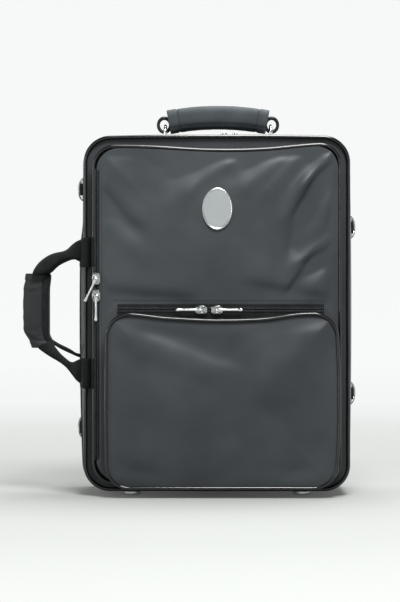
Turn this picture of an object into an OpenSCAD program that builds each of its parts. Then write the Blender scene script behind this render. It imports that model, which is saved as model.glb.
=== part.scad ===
// Case for two clarinets. It stands upright on four feet, with its front towards -Y.
// The deep back shell lies behind the seam plane y = 0 and the shallow front shell before it.
// They are hinged along the right side (+X) and close with a zip round the other three sides.
// The origin lies on the floor, midway between the case's sides, on the seam plane.

/* [Case] */
// Width of the two shells
case_w = 284; // [220:1:360]
// Height of the two shells
case_h = 378; // [340:1:480]
// Depth of the back shell behind the seam
back_depth = 78; // [60:1:120]
// Depth of the front shell before the seam
front_depth = 30; // [28:1:60]
// Radius of the four corners of the outline
corner_r = 28; // [24:1:34]
// Gap between the two shells at the seam
seam_gap = 0.4; // [0.3:0.1:1]
// Thickness of the outer cloth
cover_t = 1.5; // [1:0.1:2.5]
// Thickness of the wooden side walls
wall_t = 5; // [3:0.5:7]
// Thickness of the wooden front and back boards
board_t = 4; // [3:0.5:6]
// Radius of the piping on the shells' outer edges
edge_piping_r = 2.1; // [1.5:0.1:2.5]

/* [Lining and wells] */
// Thickness of the velvet lining
lining_t = 1; // [0.5:0.1:2]
// Thickness of the pad in the front shell
front_pad_t = 6; // [3:0.5:10]
// Thickness of the pad under the wells
well_floor_t = 8; // [4:0.5:12]
// Distance of the wells' rims behind the seam
well_rim_y = 10; // [6:1:16]
// Thickness of the rail round the wells
rail_t = 8; // [6:0.5:12]
// Thickness of the dividers between the wells
divider_t = 7; // [5:0.5:10]
// Length of the four wells for the joints
joint_well_l = 256; // [200:1:260]
// Width of the two wells for the bells
bell_well_w = 104; // [80:1:112]

/* [Hinge] */
// Length of the long hinge
hinge_l = 300; // [200:10:310]
// Number of knuckles along the hinge
knuckle_n = 10; // [6:2:14]
// Outer radius of the knuckles
knuckle_r = 2.2; // [2:0.1:2.5]
// Radius of the hinge pin
pin_r = 1.2; // [1:0.1:1.4]
// Thickness of the hinge leaves
leaf_t = 1; // [0.8:0.1:1.2]
// Width of the flat part of each leaf
leaf_w = 6; // [5:0.5:7]

/* [Zips] */
// Thickness of the zip tapes
tape_t = 1; // [0.8:0.1:1.2]
// Width of the seam zip's tape on each shell
seam_tape_w = 9; // [7:0.1:9.2]
// Width of one side of a coil
coil_w = 2.4; // [1.8:0.1:2.8]
// Height of the coils above the cloth that they lie on
coil_h = 2.2; // [1.6:0.1:2.4]
// Length of a slider
slider_l = 12; // [10:0.5:14]
// Width of a slider
slider_w = 8.8; // [8:0.1:10]
// Thickness of a slider's top plate and side flange
slider_t = 1.2; // [1:0.1:1.4]
// Length of the pulls on the two pockets' sliders
pull_l = 27; // [18:1:28]
// Length of the pulls on the seam's sliders
seam_pull_l = 13; // [10:0.5:13]
// Width of a pull
pull_w = 4; // [3:0.1:4.4]
// Thickness of a pull
pull_t = 1.4; // [1:0.1:1.8]
// Where the two seam sliders meet
seam_meet_x = 14; // [-40:1:40]
// Height of the upper music slider
music_upper_z = 231; // [228:1:240]
// Height of the lower music slider
music_lower_z = 213; // [205:1:215]
// Lean of the upper music slider's pull from the vertical
pull_lean = 26; // [20:1:34]
// Middle of the left slider of the accessory pocket
pocket_left_x = -16.3; // [-30:0.1:-14]
// Middle of the right slider of the accessory pocket
pocket_right_x = 0.2; // [0:0.1:20]

/* [Music pocket] */
// Distance of the pocket's frame from the case's sides
frame_inset = 10.6; // [10:0.1:14]
// Distance of the frame from the top of the case
frame_top_inset = 11; // [10:0.5:16]
// Distance of the frame from the bottom of the case
frame_low_inset = 9; // [8:0.5:12]
// Depth of the frame before the front shell
frame_depth = 13; // [10:0.5:20]
// Wall of the frame
frame_t = 2; // [1.5:0.1:2.5]
// Radius of the frame's corners
frame_r = 23; // [20:1:26]
// Radius of the piping on the frame
inner_piping_r = 1.6; // [1.4:0.1:1.8]
// Thickness of the panel that closes the pocket
panel_t = 2; // [1.5:0.1:2.5]
// Extra thickness of the panel behind the accessory pocket
backing_t = 2.2; // [2.2:0.1:3]
// Width of the zip tape on the panel
panel_tape_w = 7; // [6:0.5:9]
// Width of the oval plate
plate_w = 32.4; // [26:0.2:40]
// Height of the oval plate
plate_h = 45.2; // [36:0.2:52]
// Thickness of the oval plate
plate_t = 1.6; // [1:0.1:2]
// Middle of the oval plate from the case's middle
plate_x = 0.5; // [-20:0.5:20]
// Height of the oval plate's middle above the floor
plate_z = 304.8; // [250:0.2:330]

/* [Accessory pocket] */
// Left edge of the pocket
pocket_x0 = -117; // [-118:1:-100]
// Distance of the pocket's right edge from the panel's right edge
pocket_side = 2.3; // [2.3:0.1:12]
// Bottom of the pocket above the case's bottom
pocket_low = 4; // [3:0.5:10]
// Height of the pocket
pocket_h = 183.5; // [120:0.5:185]
// Depth of the pocket
pocket_depth = 11.8; // [8:0.2:20]
// Wall of the pocket
pocket_t = 2; // [1.5:0.1:2.5]
// Radius of the pocket's corners
pocket_r = 18; // [12:1:22]
// Radius of the piping on the pocket
pocket_piping_r = 1.7; // [1.4:0.1:1.9]

/* [Top handle] */
// Middle of the handle from the case's middle
handle_x = 1.5; // [-10:0.5:10]
// Distance of the handle behind the seam
handle_y = 31; // [30:1:40]
// Length of the grip
grip_l = 108; // [80:1:110]
// Height of the grip
grip_h = 26; // [18:0.5:28]
// Depth of the grip
grip_d = 26; // [18:0.5:28]
// Rounding of the grip's edges
grip_r = 9; // [6:0.5:9]
// Rise of the grip's middle over its ends
grip_rise = 5; // [3:0.5:5]
// Radius of the wire of the two posts
post_r = 1.8; // [1.5:0.1:2]
// Radius of the posts' arches
arch_r = 8.5; // [8:0.5:10]
// Height of the posts' straight wires above their foot plates
post_rise = 6; // [2:0.5:12]
// Distance of the posts from the ends of the grip
post_from_grip = 3.5; // [2.5:0.5:8]
// Thickness of the posts' foot plates
foot_plate_t = 1.5; // [1:0.1:2]
// Inner radius of the leather end loops
loop_in_r = 4.5; // [4.4:0.1:5]
// Thickness of the leather end loops
loop_t = 2.7; // [2:0.1:3]
// Width of the leather end loops
loop_w = 8; // [6:0.5:8]

/* [Side handle] */
// Distance of the grip's outer face from the case's side
side_reach = 66; // [50:0.5:80]
// Thickness of the grip away from the case
side_grip_w = 26; // [18:0.5:28]
// Depth of each half of the grip
side_grip_d = 13; // [9:0.5:15]
// Length of the grip
side_grip_l = 80; // [60:1:90]
// Height of the grip's middle above the floor
side_grip_z = 197; // [190:1:205]
// Width of the webbing
webbing_w = 16; // [12:0.5:17]
// Thickness of the webbing patches on the case
patch_t = 2; // [1.5:0.1:2]
// Height of each webbing patch
patch_h = 31; // [24:1:34]

/* [Rings and feet] */
// Radius of the rings' round part
ring_r = 11; // [9:0.5:13]
// Radius of the rings' wire
ring_wire_r = 1.4; // [1.2:0.1:1.6]
// Angle that the rings lie back from straight out
ring_rest = 65; // [40:5:75]
// Height of the feet
foot_h = 5; // [4:0.5:8]
// Radius of the feet
foot_r = 10; // [8:0.5:12]
// Distance of each foot from the case's middle
foot_x = 91; // [60:1:110]

/* [Hidden] */
$fn = 48;

// Working clearance between flat faces of pieces that move past each other
gap = 0.4;
// Running clearance of the hinge pin
pin_gap = 0.05;

side_x = case_w / 2;
top_z = foot_h + case_h;
seam_y = seam_gap / 2;
cloth = "#3e4347";
velvet = "#1d2126";
ply = "#4d3b28";
piping_black = "#0e1011";
webbing_black = "#1f2423";
leather_grey = "#4a5053";
nickel = "#c9cccc";
hinge_black = "#17191a";
chrome = "#e4e6e7";
coil_black = "#17191b";

// Inside of the back shell
inner_x = side_x - cover_t - wall_t - lining_t;
inner_z0 = foot_h + cover_t + wall_t + lining_t;
inner_z1 = top_z - cover_t - wall_t - lining_t;
back_board_y = back_depth - cover_t - board_t;
well_floor_y = back_board_y - lining_t - well_floor_t;
well_top_z = inner_z0 + rail_t + joint_well_l;

// Hinge
hinge_z0 = foot_h + (case_h - hinge_l) / 2;
leaf_x1 = side_x - knuckle_r - gap;
leaf_x0 = leaf_x1 - leaf_w;
knuckle_pitch = hinge_l / knuckle_n;
hinge_clear = knuckle_r + gap;
screw_r = 1.25;
screw_l = 9;
screws_per_leaf = 5;
screw_edge = 0.75;
screw_x = side_x - cover_t - wall_t + screw_r + screw_edge;

// Zips and sliders. w is the height above the cloth
ride_h = coil_h + 0.3;
lug_t = 1;
bar_r = 0.8;
eye_r = 1.9;
eye_bore_r = 1.1;
bar_w = ride_h + slider_t + eye_r + 0.3;
lug_v = pull_w / 2 + 0.3;
zip_end_x = side_x - corner_r;
seam_pull_droop = 15;
meet_gap = 0.2;
seam_left_x = seam_meet_x - slider_l / 2 - meet_gap;
seam_right_x = seam_meet_x + slider_l / 2 + meet_gap;

// Music pocket
frame_x = side_x - frame_inset;
frame_z0 = foot_h + frame_low_inset;
frame_z1 = top_z - frame_top_inset;
frame_y = -front_depth - frame_depth;
piping_y = frame_y - inner_piping_r;
piping_x = frame_x - frame_t / 2;
panel_clear = inner_piping_r - frame_t / 2 + gap;
panel_x1 = frame_x - frame_t - panel_clear;
panel_z0 = frame_z0 + frame_t + panel_clear;
panel_z1 = frame_z1 - frame_t - panel_clear;
music_zip_x = -frame_x + frame_t + panel_clear + 0.8;
panel_x0 = music_zip_x + gap / 2;
panel_y = frame_y - 1;
panel_corner_extra = 3;
panel_r = frame_r - frame_t - panel_clear + panel_corner_extra;

// Accessory pocket
pocket_y = panel_y - backing_t;
tray_y = pocket_y - gap;
pocket_x1 = panel_x1 - pocket_side;
pocket_z0 = foot_h + pocket_low;
pocket_z1 = pocket_z0 + pocket_h;
pocket_zip_rise = 5.5;
pocket_zip_z = pocket_z1 + pocket_zip_rise;
pocket_tape_h = 8;
zip_left_inset = 12;
zip_right_inset = 13;
pocket_zip_x0 = pocket_x0 + zip_left_inset;
pocket_zip_x1 = pocket_x1 - zip_right_inset;

// Top handle
foot_plate_l = 32;
foot_plate_w = 14;
rivet_r = 1.5;
rivet_head_r = 2.4;
rivet_head_h = 1;
rivet_y = foot_plate_l / 2 - 2.8;
post_x = grip_l / 2 + post_from_grip;
arch_z = top_z + foot_plate_t + post_rise;
loop_z = arch_z + arch_r + 1;
grip_arc_r = (pow(grip_l / 2, 2) + pow(grip_rise, 2)) / (2 * grip_rise);
grip_half_angle = asin(grip_l / 2 / grip_arc_r);
grip_over_loop = 2.8;
grip_mid_z = loop_z + grip_rise + grip_over_loop;
sewn_gap = 0.05;

// Side handle
side_grip_x0 = -side_x - side_reach;
side_grip_x1 = side_grip_x0 + side_grip_w;
side_grip_r = 9;
side_grip_z0 = side_grip_z - side_grip_l / 2;
side_grip_z1 = side_grip_z + side_grip_l / 2;
patch_from_tape = 0.6;
patch_w = 17.4;
patch_upper_z = side_grip_z1 + 22;
patch_lower_z = side_grip_z0 - 27;
strap_x = -side_x - patch_t - 1.2;

// Rings
tab_t = 1.5;
tab_w = 22;
boss_r = 3;
ring_x = side_x + tab_t + boss_r;
ring_y = 30;
boss_l = 13;
tab_end = 12;
tab_near_end = 9;
tab_upper_tail = 47;
tab_lower_tail = 52;
ring_bore_r = ring_wire_r + 0.3;
ring_upper_left_z = foot_h + 324.4;
ring_lower_left_z = foot_h + 64.3;
ring_upper_right_z = foot_h + 283;
ring_lower_right_z = foot_h + 101.6;

// Feet
foot_back_inset = 6;
foot_front_y = -(seam_y + seam_tape_w + gap + foot_r);
foot_back_y = back_depth - foot_r - foot_back_inset;

// Shared shapes

module slab(x0, x1, y0, y1, z0, z1) {
    translate([x0, y0, z0]) cube([x1 - x0, y1 - y0, z1 - z0]);
}

// A rectangle with round corners, drawn in X and Z
module rounded(x0, x1, z0, z1, r) {
    translate([x0 + r, z0]) square([x1 - x0 - 2 * r, z1 - z0]);
    translate([x0, z0 + r]) square([x1 - x0, z1 - z0 - 2 * r]);
    for (x = [x0 + r, x1 - r], z = [z0 + r, z1 - r]) translate([x, z]) circle(r);
}

// A round-cornered plate that stands in X and Z and runs from y0 to y1
module plate(x0, x1, z0, z1, r, y0, y1) {
    translate([0, y1, 0]) rotate([90, 0, 0]) linear_extrude(y1 - y0) rounded(x0, x1, z0, z1, r);
}

// A plate with the case's own outline, drawn in by inset
module case_plate(inset, y0, y1) {
    plate(-side_x + inset, side_x - inset, foot_h + inset, top_z - inset, corner_r - inset, y0, y1);
}

// A quarter turn of a profile about a Y axis; k = 0 is the upper right quarter
module quarter(x, y, z, k) {
    translate([x, y, z]) rotate([90, 0, 0]) rotate([0, 0, 90 * k]) rotate_extrude(angle = 90) children();
}

// A closed ring of piping round a round-cornered rectangle
module piping(x0, x1, z0, z1, r, y, wire_r) {
    for (z = [z0, z1]) translate([x0 + r, y, z]) rotate([0, 90, 0]) cylinder(r = wire_r, h = x1 - x0 - 2 * r);
    for (x = [x0, x1]) translate([x, y, z0 + r]) cylinder(r = wire_r, h = z1 - z0 - 2 * r);
    for (k = [0:3])
        quarter(k == 0 || k == 3 ? x1 - r : x0 + r, y, k < 2 ? z1 - r : z0 + r, k)
            translate([r, 0]) circle(wire_r);
}

// Four straight boards and four bent corners; the hinge side's board is cut back at the seam
module shell_walls(y0, y1, hinge_y0, hinge_y1) {
    x = side_x - cover_t;
    z0 = foot_h + cover_t;
    z1 = top_z - cover_t;
    r = corner_r - cover_t;
    slab(-x, -x + wall_t, y0, y1, z0 + r, z1 - r);
    slab(x - wall_t, x, hinge_y0, hinge_y1, z0 + r, z1 - r);
    slab(-x + r, x - r, y0, y1, z0, z0 + wall_t);
    slab(-x + r, x - r, y0, y1, z1 - wall_t, z1);
    for (k = [0:3])
        quarter(k == 0 || k == 3 ? x - r : r - x, y1, k < 2 ? z1 - r : z0 + r, k)
            translate([r - wall_t, 0]) square([wall_t, y1 - y0]);
}

// Room for the hinge's knuckles in a shell's cloth
module hinge_room() {
    slab(leaf_x1 - gap, side_x + 1, -hinge_clear, hinge_clear, hinge_z0 - 1.5, hinge_z0 + hinge_l + 1.5);
}

// Holes for the hinge screws, which run from the seam into the boards
module screw_row(r, y0, y1) {
    for (i = [0:screws_per_leaf - 1])
        translate([screw_x, y1, hinge_z0 + (i + 0.5) * hinge_l / screws_per_leaf])
            rotate([90, 0, 0]) cylinder(r = r, h = y1 - y0);
}

// One leaf of the hinge, lying behind the seam; first is the number of its first knuckle
module hinge_leaf(first) {
    difference() {
        union() {
            slab(leaf_x0, leaf_x1, seam_y, seam_y + leaf_t, hinge_z0, hinge_z0 + hinge_l);
            for (i = [first:2:knuckle_n - 1]) {
                z0 = hinge_z0 + i * knuckle_pitch + gap / 2;
                h = knuckle_pitch - gap;
                slab(leaf_x1 - 0.1, side_x - pin_r, seam_y, seam_y + leaf_t, z0, z0 + h);
                translate([side_x, 0, z0]) cylinder(r = knuckle_r, h = h);
            }
        }
        translate([side_x, 0, hinge_z0 - 1]) cylinder(r = pin_r + pin_gap, h = hinge_l + 2);
        screw_row(screw_r + pin_gap, seam_y - 1, seam_y + leaf_t + 1);
    }
}

// One side of the seam's zip: tape and coil round the left, top and bottom
module seam_zip() {
    intersection() {
        union() {
            difference() {
                case_plate(-tape_t, seam_y, seam_y + seam_tape_w);
                case_plate(0, seam_y - 1, seam_y + seam_tape_w + 1);
            }
            difference() {
                case_plate(-coil_h, seam_y, seam_y + coil_w);
                case_plate(0, seam_y - 1, seam_y + coil_w + 1);
            }
        }
        slab(-case_w, zip_end_x, -back_depth, back_depth, 0, 2 * case_h);
    }
}

// A slider over a zip that runs along X, seen from outside (+Z), at w = 0 on the cloth.
// hold is the side of the flange; lugs face the pull's direction, turned from +X
module slider(hold, turn) {
    slab(-slider_l / 2, slider_l / 2, -slider_w / 2, slider_w / 2, ride_h, ride_h + slider_t);
    scale([1, hold, 1])
        slab(-slider_l / 2, slider_l / 2, slider_w / 2 - slider_t, slider_w / 2, tape_t + 0.3, ride_h);
    rotate([0, 0, turn]) {
        for (side = [-1, 1])
            scale([1, side, 1])
                slab(-bar_r - 0.7, bar_r + 0.7, lug_v, lug_v + lug_t, ride_h + slider_t, bar_w + bar_r + 0.6);
        translate([0, lug_v, bar_w]) rotate([90, 0, 0]) cylinder(r = bar_r, h = 2 * lug_v);
    }
}

// A pull that hangs on the bar of such a slider, its tip lowered by droop
module pull(turn, length, droop = 0) {
    rotate([0, 0, turn]) translate([0, 0, bar_w]) rotate([0, droop, 0]) difference() {
        union() {
            translate([0, pull_w / 2, 0]) rotate([90, 0, 0]) cylinder(r = eye_r, h = pull_w);
            slab(0, length - pull_w / 2, -pull_w / 2, pull_w / 2, -pull_t / 2, pull_t / 2);
            translate([length - pull_w / 2, 0, -pull_t / 2]) cylinder(r = pull_w / 2, h = pull_t);
        }
        translate([0, pull_w, 0]) rotate([90, 0, 0]) cylinder(r = eye_bore_r, h = 2 * pull_w);
    }
}

// Places for sliders: on the top of the seam, on the upright music zip, on the pocket's zip
module on_seam(x) {
    translate([x, 0, top_z]) children();
}

module on_music_zip(z) {
    translate([music_zip_x, panel_y, z]) rotate([90, 0, 0]) rotate([0, 0, 90]) children();
}

module on_pocket_zip(x) {
    translate([x, pocket_y, pocket_zip_z]) rotate([90, 0, 0]) children();
}

// A metal ring with a straight bar, lying back on the case's side; side is -1 left, 1 right
module strap_ring(side, z) {
    translate([side * ring_x, ring_y, z]) rotate([0, 0, side > 0 ? ring_rest : 180 - ring_rest]) {
        rotate([90, 0, 0]) rotate([0, 0, -90]) rotate_extrude(angle = 180)
            translate([ring_r, 0]) circle(ring_wire_r);
        translate([0, 0, -ring_r]) cylinder(r = ring_wire_r, h = 2 * ring_r);
    }
}

// The webbing tab that holds a ring: a stitched patch from z0 to z1 and a roll round the ring's bar
module ring_tab(side, z, z0, z1) {
    difference() {
        union() {
            scale([side, 1, 1]) slab(side_x, side_x + tab_t, ring_y - tab_w / 2, ring_y + tab_w / 2, z0, z1);
            translate([side * ring_x, ring_y, z - boss_l / 2]) cylinder(r = boss_r, h = boss_l);
            scale([side, 1, 1])
                slab(side_x + tab_t, ring_x, ring_y - boss_r, ring_y + boss_r, z - boss_l / 2,
                    z + boss_l / 2);
        }
        translate([side * ring_x, ring_y, z - boss_l]) cylinder(r = ring_bore_r, h = 2 * boss_l);
    }
}

// A turned metal foot with a flat sole
module foot(x, y) {
    translate([x, y, 0]) rotate_extrude() polygon([
        [0, 0], [foot_r - 2, 0], [foot_r - 0.6, 0.8], [foot_r, 2],
        [foot_r, foot_h - 0.8], [foot_r - 1, foot_h], [0, foot_h]
    ]);
}

// Half of the side handle's grip, behind the seam
module side_grip_half() {
    translate([0, 0, side_grip_z0]) linear_extrude(side_grip_l) intersection() {
        rounded(side_grip_x0, side_grip_x1, -side_grip_d, side_grip_d, side_grip_r);
        translate([side_grip_x0 - 1, seam_y]) square([side_grip_w + 2, side_grip_d]);
    }
}

// The two webbing arms of half a side handle, behind the seam
module side_strap_half() {
    y0 = 4;
    translate([0, y0 + webbing_w, 0]) rotate([90, 0, 0]) linear_extrude(webbing_w) {
        polygon([
            [side_grip_x0 + 8, side_grip_z1], [side_grip_x1 - 4, side_grip_z1],
            [side_grip_x1 + 4, side_grip_z1 + 6],
            [strap_x - 17, patch_upper_z - 9], [strap_x, patch_upper_z - 6], [strap_x, patch_upper_z + 7],
            [strap_x - 17, patch_upper_z + 1], [side_grip_x1, side_grip_z1 + 17],
            [side_grip_x1 - 9, side_grip_z1 + 10]
        ]);
        polygon([
            [side_grip_x0 + 6, side_grip_z0], [side_grip_x0 + 20, side_grip_z0 - 14],
            [strap_x - 14, patch_lower_z - 1], [strap_x, patch_lower_z - 8], [strap_x, patch_lower_z + 10],
            [strap_x - 16, patch_lower_z + 18], [side_grip_x1 - 2, side_grip_z0]
        ]);
    }
}

// The two webbing patches sewn on a shell's side, behind the seam
module webbing_patches() {
    y0 = seam_y + seam_tape_w + patch_from_tape;
    for (z = [patch_upper_z, patch_lower_z])
        slab(-side_x - patch_t, -side_x, y0, y0 + patch_w, z - patch_h / 2, z + patch_h / 2);
}

// Back shell

module back_cover() {
    color(cloth) difference() {
        case_plate(0, seam_y, back_depth);
        case_plate(cover_t, seam_y - 1, back_depth - cover_t);
        hinge_room();
    }
}

module back_board() {
    color(ply) case_plate(cover_t, back_board_y, back_depth - cover_t);
}

module back_walls() {
    color(ply) difference() {
        shell_walls(seam_y, back_board_y, seam_y + leaf_t, back_board_y);
        hinge_room();
        screw_row(screw_r + pin_gap, seam_y, seam_y + screw_l + 0.2);
    }
}

module back_lining() {
    t = cover_t + wall_t;
    color(velvet) difference() {
        case_plate(t, seam_y + leaf_t, back_board_y);
        case_plate(t + lining_t, seam_y, back_board_y - lining_t);
    }
}

module back_piping() {
    i = edge_piping_r + 0.1;
    color(piping_black)
        piping(-side_x + i, side_x - i, foot_h + i, top_z - i, corner_r - i, back_depth + edge_piping_r,
            edge_piping_r);
}

module well_floor() {
    color(velvet) case_plate(cover_t + wall_t + lining_t, well_floor_y, back_board_y - lining_t);
}

module well_rails() {
    t = cover_t + wall_t + lining_t;
    color(velvet) for (side = [-1, 1]) {
        intersection() {
            case_plate(t, well_rim_y, well_floor_y);
            scale([side, 1, 1])
                slab(inner_x - rail_t, case_w, 0, back_depth, inner_z0 + rail_t + 0.2,
                    inner_z1 - rail_t - 0.2);
        }
    }
    color(velvet) for (z = [inner_z0 - 20, inner_z1 - rail_t]) {
        intersection() {
            case_plate(t, well_rim_y, well_floor_y);
            slab(-case_w, case_w, 0, back_depth, z, z + rail_t + 20);
        }
    }
}

module joint_dividers() {
    pitch = (2 * (inner_x - rail_t) + divider_t) / 4;
    color(velvet) for (i = [-1:1])
        slab(i * pitch - divider_t / 2, i * pitch + divider_t / 2, well_rim_y, well_floor_y,
            inner_z0 + rail_t, well_top_z);
}

module bell_dividers() {
    x = inner_x - rail_t;
    color(velvet) {
        slab(-x, x, well_rim_y, well_floor_y, well_top_z, well_top_z + divider_t);
        for (side = [-1, 1])
            scale([side, 1, 1])
                slab(x - bell_well_w - divider_t, x - bell_well_w, well_rim_y, well_floor_y,
                    well_top_z + divider_t + 0.2, inner_z1 - rail_t);
    }
}

module hinge_leaf_back() {
    color(hinge_black) hinge_leaf(0);
}

module hinge_pin() {
    color(hinge_black) translate([side_x, 0, hinge_z0]) {
        cylinder(r = pin_r, h = hinge_l);
        translate([0, 0, -1]) cylinder(r = knuckle_r - 0.4, h = 1);
        translate([0, 0, hinge_l]) cylinder(r = knuckle_r - 0.4, h = 1);
    }
}

module hinge_screws_back() {
    color(hinge_black) screw_row(screw_r, seam_y, seam_y + screw_l);
}

module seam_zip_back() {
    color(coil_black) seam_zip();
}

module handle_posts() {
    color(chrome) for (side = [-1, 1]) translate([handle_x + side * post_x, handle_y, 0]) {
        difference() {
            slab(-foot_plate_w / 2, foot_plate_w / 2, -foot_plate_l / 2, foot_plate_l / 2, top_z,
                top_z + foot_plate_t);
            for (y = [-rivet_y, rivet_y]) translate([0, y, top_z - 1]) cylinder(r = rivet_r + 0.1, h = 4);
        }
        for (y = [-arch_r, arch_r])
            translate([0, y, top_z + foot_plate_t - 0.01])
                cylinder(r = post_r, h = arch_z - top_z - foot_plate_t + 0.01);
        translate([0, 0, arch_z]) rotate([90, 0, 90]) rotate_extrude(angle = 180)
            translate([arch_r, 0]) circle(post_r);
    }
}

module handle_rivets() {
    color(chrome) for (side = [-1, 1], y = [-rivet_y, rivet_y])
        translate([handle_x + side * post_x, handle_y + y, top_z]) {
            cylinder(r = rivet_r, h = foot_plate_t);
            translate([0, 0, foot_plate_t]) cylinder(r1 = rivet_head_r, r2 = rivet_r, h = rivet_head_h);
        }
}

module ring_tabs() {
    color(webbing_black) {
        ring_tab(-1, ring_upper_left_z, ring_upper_left_z - tab_end, ring_upper_left_z + tab_end);
        ring_tab(-1, ring_lower_left_z, ring_lower_left_z - tab_end, ring_lower_left_z + tab_end);
        ring_tab(1, ring_upper_right_z, ring_upper_right_z - tab_near_end,
            ring_upper_right_z + tab_upper_tail);
        ring_tab(1, ring_lower_right_z, ring_lower_right_z - tab_lower_tail,
            ring_lower_right_z + tab_near_end);
    }
}

module webbing_patches_back() {
    color(webbing_black) webbing_patches();
}

module back_feet() {
    color(chrome) for (side = [-1, 1]) foot(side * foot_x, foot_back_y);
}

// Front shell

module front_cover() {
    color(cloth) difference() {
        case_plate(0, -front_depth, -seam_y);
        case_plate(cover_t, -front_depth + cover_t, 1);
        hinge_room();
    }
}

module front_board() {
    color(ply) case_plate(cover_t, -front_depth + cover_t, -front_depth + cover_t + board_t);
}

module front_walls() {
    y0 = -front_depth + cover_t + board_t;
    color(ply) difference() {
        shell_walls(y0, -seam_y, y0, -seam_y - leaf_t);
        hinge_room();
        screw_row(screw_r + pin_gap, -seam_y - screw_l - 0.2, -seam_y);
    }
}

module front_pad() {
    y0 = -front_depth + cover_t + board_t;
    color(velvet) case_plate(cover_t + wall_t, y0, y0 + front_pad_t);
}

module front_piping() {
    i = edge_piping_r + 0.1;
    color(piping_black) piping(
        -side_x + i, side_x - i, foot_h + i, top_z - i, corner_r - i, -front_depth - edge_piping_r,
        edge_piping_r);
}

module hinge_leaf_front() {
    color(hinge_black) mirror([0, 1, 0]) hinge_leaf(1);
}

module hinge_screws_front() {
    color(hinge_black) screw_row(screw_r, -seam_y - screw_l, -seam_y);
}

module seam_zip_front() {
    color(coil_black) mirror([0, 1, 0]) seam_zip();
}

module webbing_patches_front() {
    color(webbing_black) mirror([0, 1, 0]) webbing_patches();
}

module front_feet() {
    color(chrome) for (side = [-1, 1]) foot(side * foot_x, foot_front_y);
}

module music_frame() {
    color(cloth) difference() {
        plate(-frame_x, frame_x, frame_z0, frame_z1, frame_r, frame_y, -front_depth);
        plate(-frame_x + frame_t, frame_x - frame_t, frame_z0 + frame_t, frame_z1 - frame_t,
            frame_r - frame_t, frame_y - 1, -front_depth + 1);
    }
}

module music_piping() {
    color(piping_black) piping(
        -piping_x, piping_x, frame_z0 + frame_t / 2, frame_z1 - frame_t / 2, frame_r - frame_t / 2, piping_y,
        inner_piping_r);
}

module music_zip_fixed() {
    color(coil_black) {
        slab(-frame_x + frame_t, music_zip_x - gap / 2, frame_y, frame_y + 2, panel_z0 + panel_r,
            panel_z1 - panel_r);
        slab(-piping_x + inner_piping_r + 0.1, music_zip_x - gap / 2, panel_y - coil_h, frame_y,
            panel_z0 + panel_r, panel_z1 - panel_r);
    }
}

// Panel of the music pocket

module music_panel() {
    color(cloth) {
        plate(panel_x0, panel_x1, panel_z0, panel_z1, panel_r, panel_y, panel_y + panel_t);
        plate(pocket_x0 - 1, pocket_x1, panel_z0 + 1, pocket_zip_z + pocket_tape_h + 2, pocket_r, pocket_y,
            panel_y);
    }
}

module music_zip_panel() {
    color(coil_black) {
        slab(panel_x0, panel_x0 + panel_tape_w, panel_y - tape_t, panel_y, panel_z0 + panel_r,
            panel_z1 - panel_r);
        slab(panel_x0, panel_x0 + coil_w, panel_y - coil_h, panel_y - tape_t, panel_z0 + panel_r,
            panel_z1 - panel_r);
    }
}

module oval_plate() {
    color(chrome) translate([plate_x, panel_y, plate_z]) rotate([90, 0, 0]) linear_extrude(plate_t)
        polygon([for (a = [0:7.5:352.5]) [plate_w / 2 * cos(a), plate_h / 2 * sin(a)]]);
}

module pocket_zip_upper() {
    z = pocket_zip_z + gap / 2;
    color(coil_black) {
        slab(pocket_zip_x0, pocket_zip_x1, pocket_y - tape_t, pocket_y, z, z + pocket_tape_h);
        slab(pocket_zip_x0, pocket_zip_x1, pocket_y - coil_h, pocket_y - tape_t, z, z + coil_w);
    }
}

// Accessory pocket

module pocket_tray() {
    color(cloth) difference() {
        plate(pocket_x0, pocket_x1, pocket_z0, pocket_z1, pocket_r, tray_y - pocket_depth, tray_y);
        plate(pocket_x0 + pocket_t, pocket_x1 - pocket_t, pocket_z0 + pocket_t, pocket_z1 - pocket_t,
            pocket_r - pocket_t, tray_y - pocket_depth + pocket_t, tray_y + 1);
    }
}

module pocket_piping() {
    i = pocket_piping_r;
    color(piping_black) piping(
        pocket_x0 + i, pocket_x1 - i, pocket_z0 + i, pocket_z1 - i, pocket_r - i,
        tray_y - pocket_depth - pocket_piping_r, pocket_piping_r);
}

module pocket_zip_lower() {
    z = pocket_zip_z - gap / 2;
    color(coil_black) {
        slab(pocket_zip_x0, pocket_zip_x1, pocket_y - tape_t - 0.1, tray_y, pocket_z1, z);
        slab(pocket_zip_x0, pocket_zip_x1, pocket_y - coil_h, pocket_y - tape_t - 0.1, z - coil_w, z);
    }
}

// Top handle

module top_grip() {
    color(leather_grey) translate([handle_x, handle_y, grip_mid_z - grip_arc_r])
        rotate([90, 0, 0]) rotate([0, 0, 90 - grip_half_angle]) rotate_extrude(angle = 2 * grip_half_angle)
            translate([grip_arc_r, 0]) rounded(-grip_h / 2, grip_h / 2, -grip_d / 2, grip_d / 2, grip_r);
}

module top_loops() {
    color(piping_black) for (side = [-1, 1])
        translate([handle_x, handle_y, loop_z]) scale([side, 1, 1]) intersection() {
            translate([post_x, 0, 0]) difference() {
                translate([0, loop_w / 2, 0]) rotate([90, 0, 0]) cylinder(r = loop_in_r + loop_t, h = loop_w);
                translate([0, loop_w, 0]) rotate([90, 0, 0]) cylinder(r = loop_in_r, h = 2 * loop_w);
            }
            translate([grip_l / 2, 0, grip_over_loop]) rotate([0, grip_half_angle, 0])
                slab(sewn_gap, grip_l, -grip_d, grip_d, -grip_h, grip_h);
        }
}

// Side handle

module side_grip_front() {
    color(leather_grey) mirror([0, 1, 0]) side_grip_half();
}

module side_straps_front() {
    color(webbing_black) mirror([0, 1, 0]) side_strap_half();
}

module side_grip_back() {
    color(leather_grey) side_grip_half();
}

module side_straps_back() {
    color(webbing_black) side_strap_half();
}

// Rings

module ring_upper_left() {
    color(nickel) strap_ring(-1, ring_upper_left_z);
}

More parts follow.
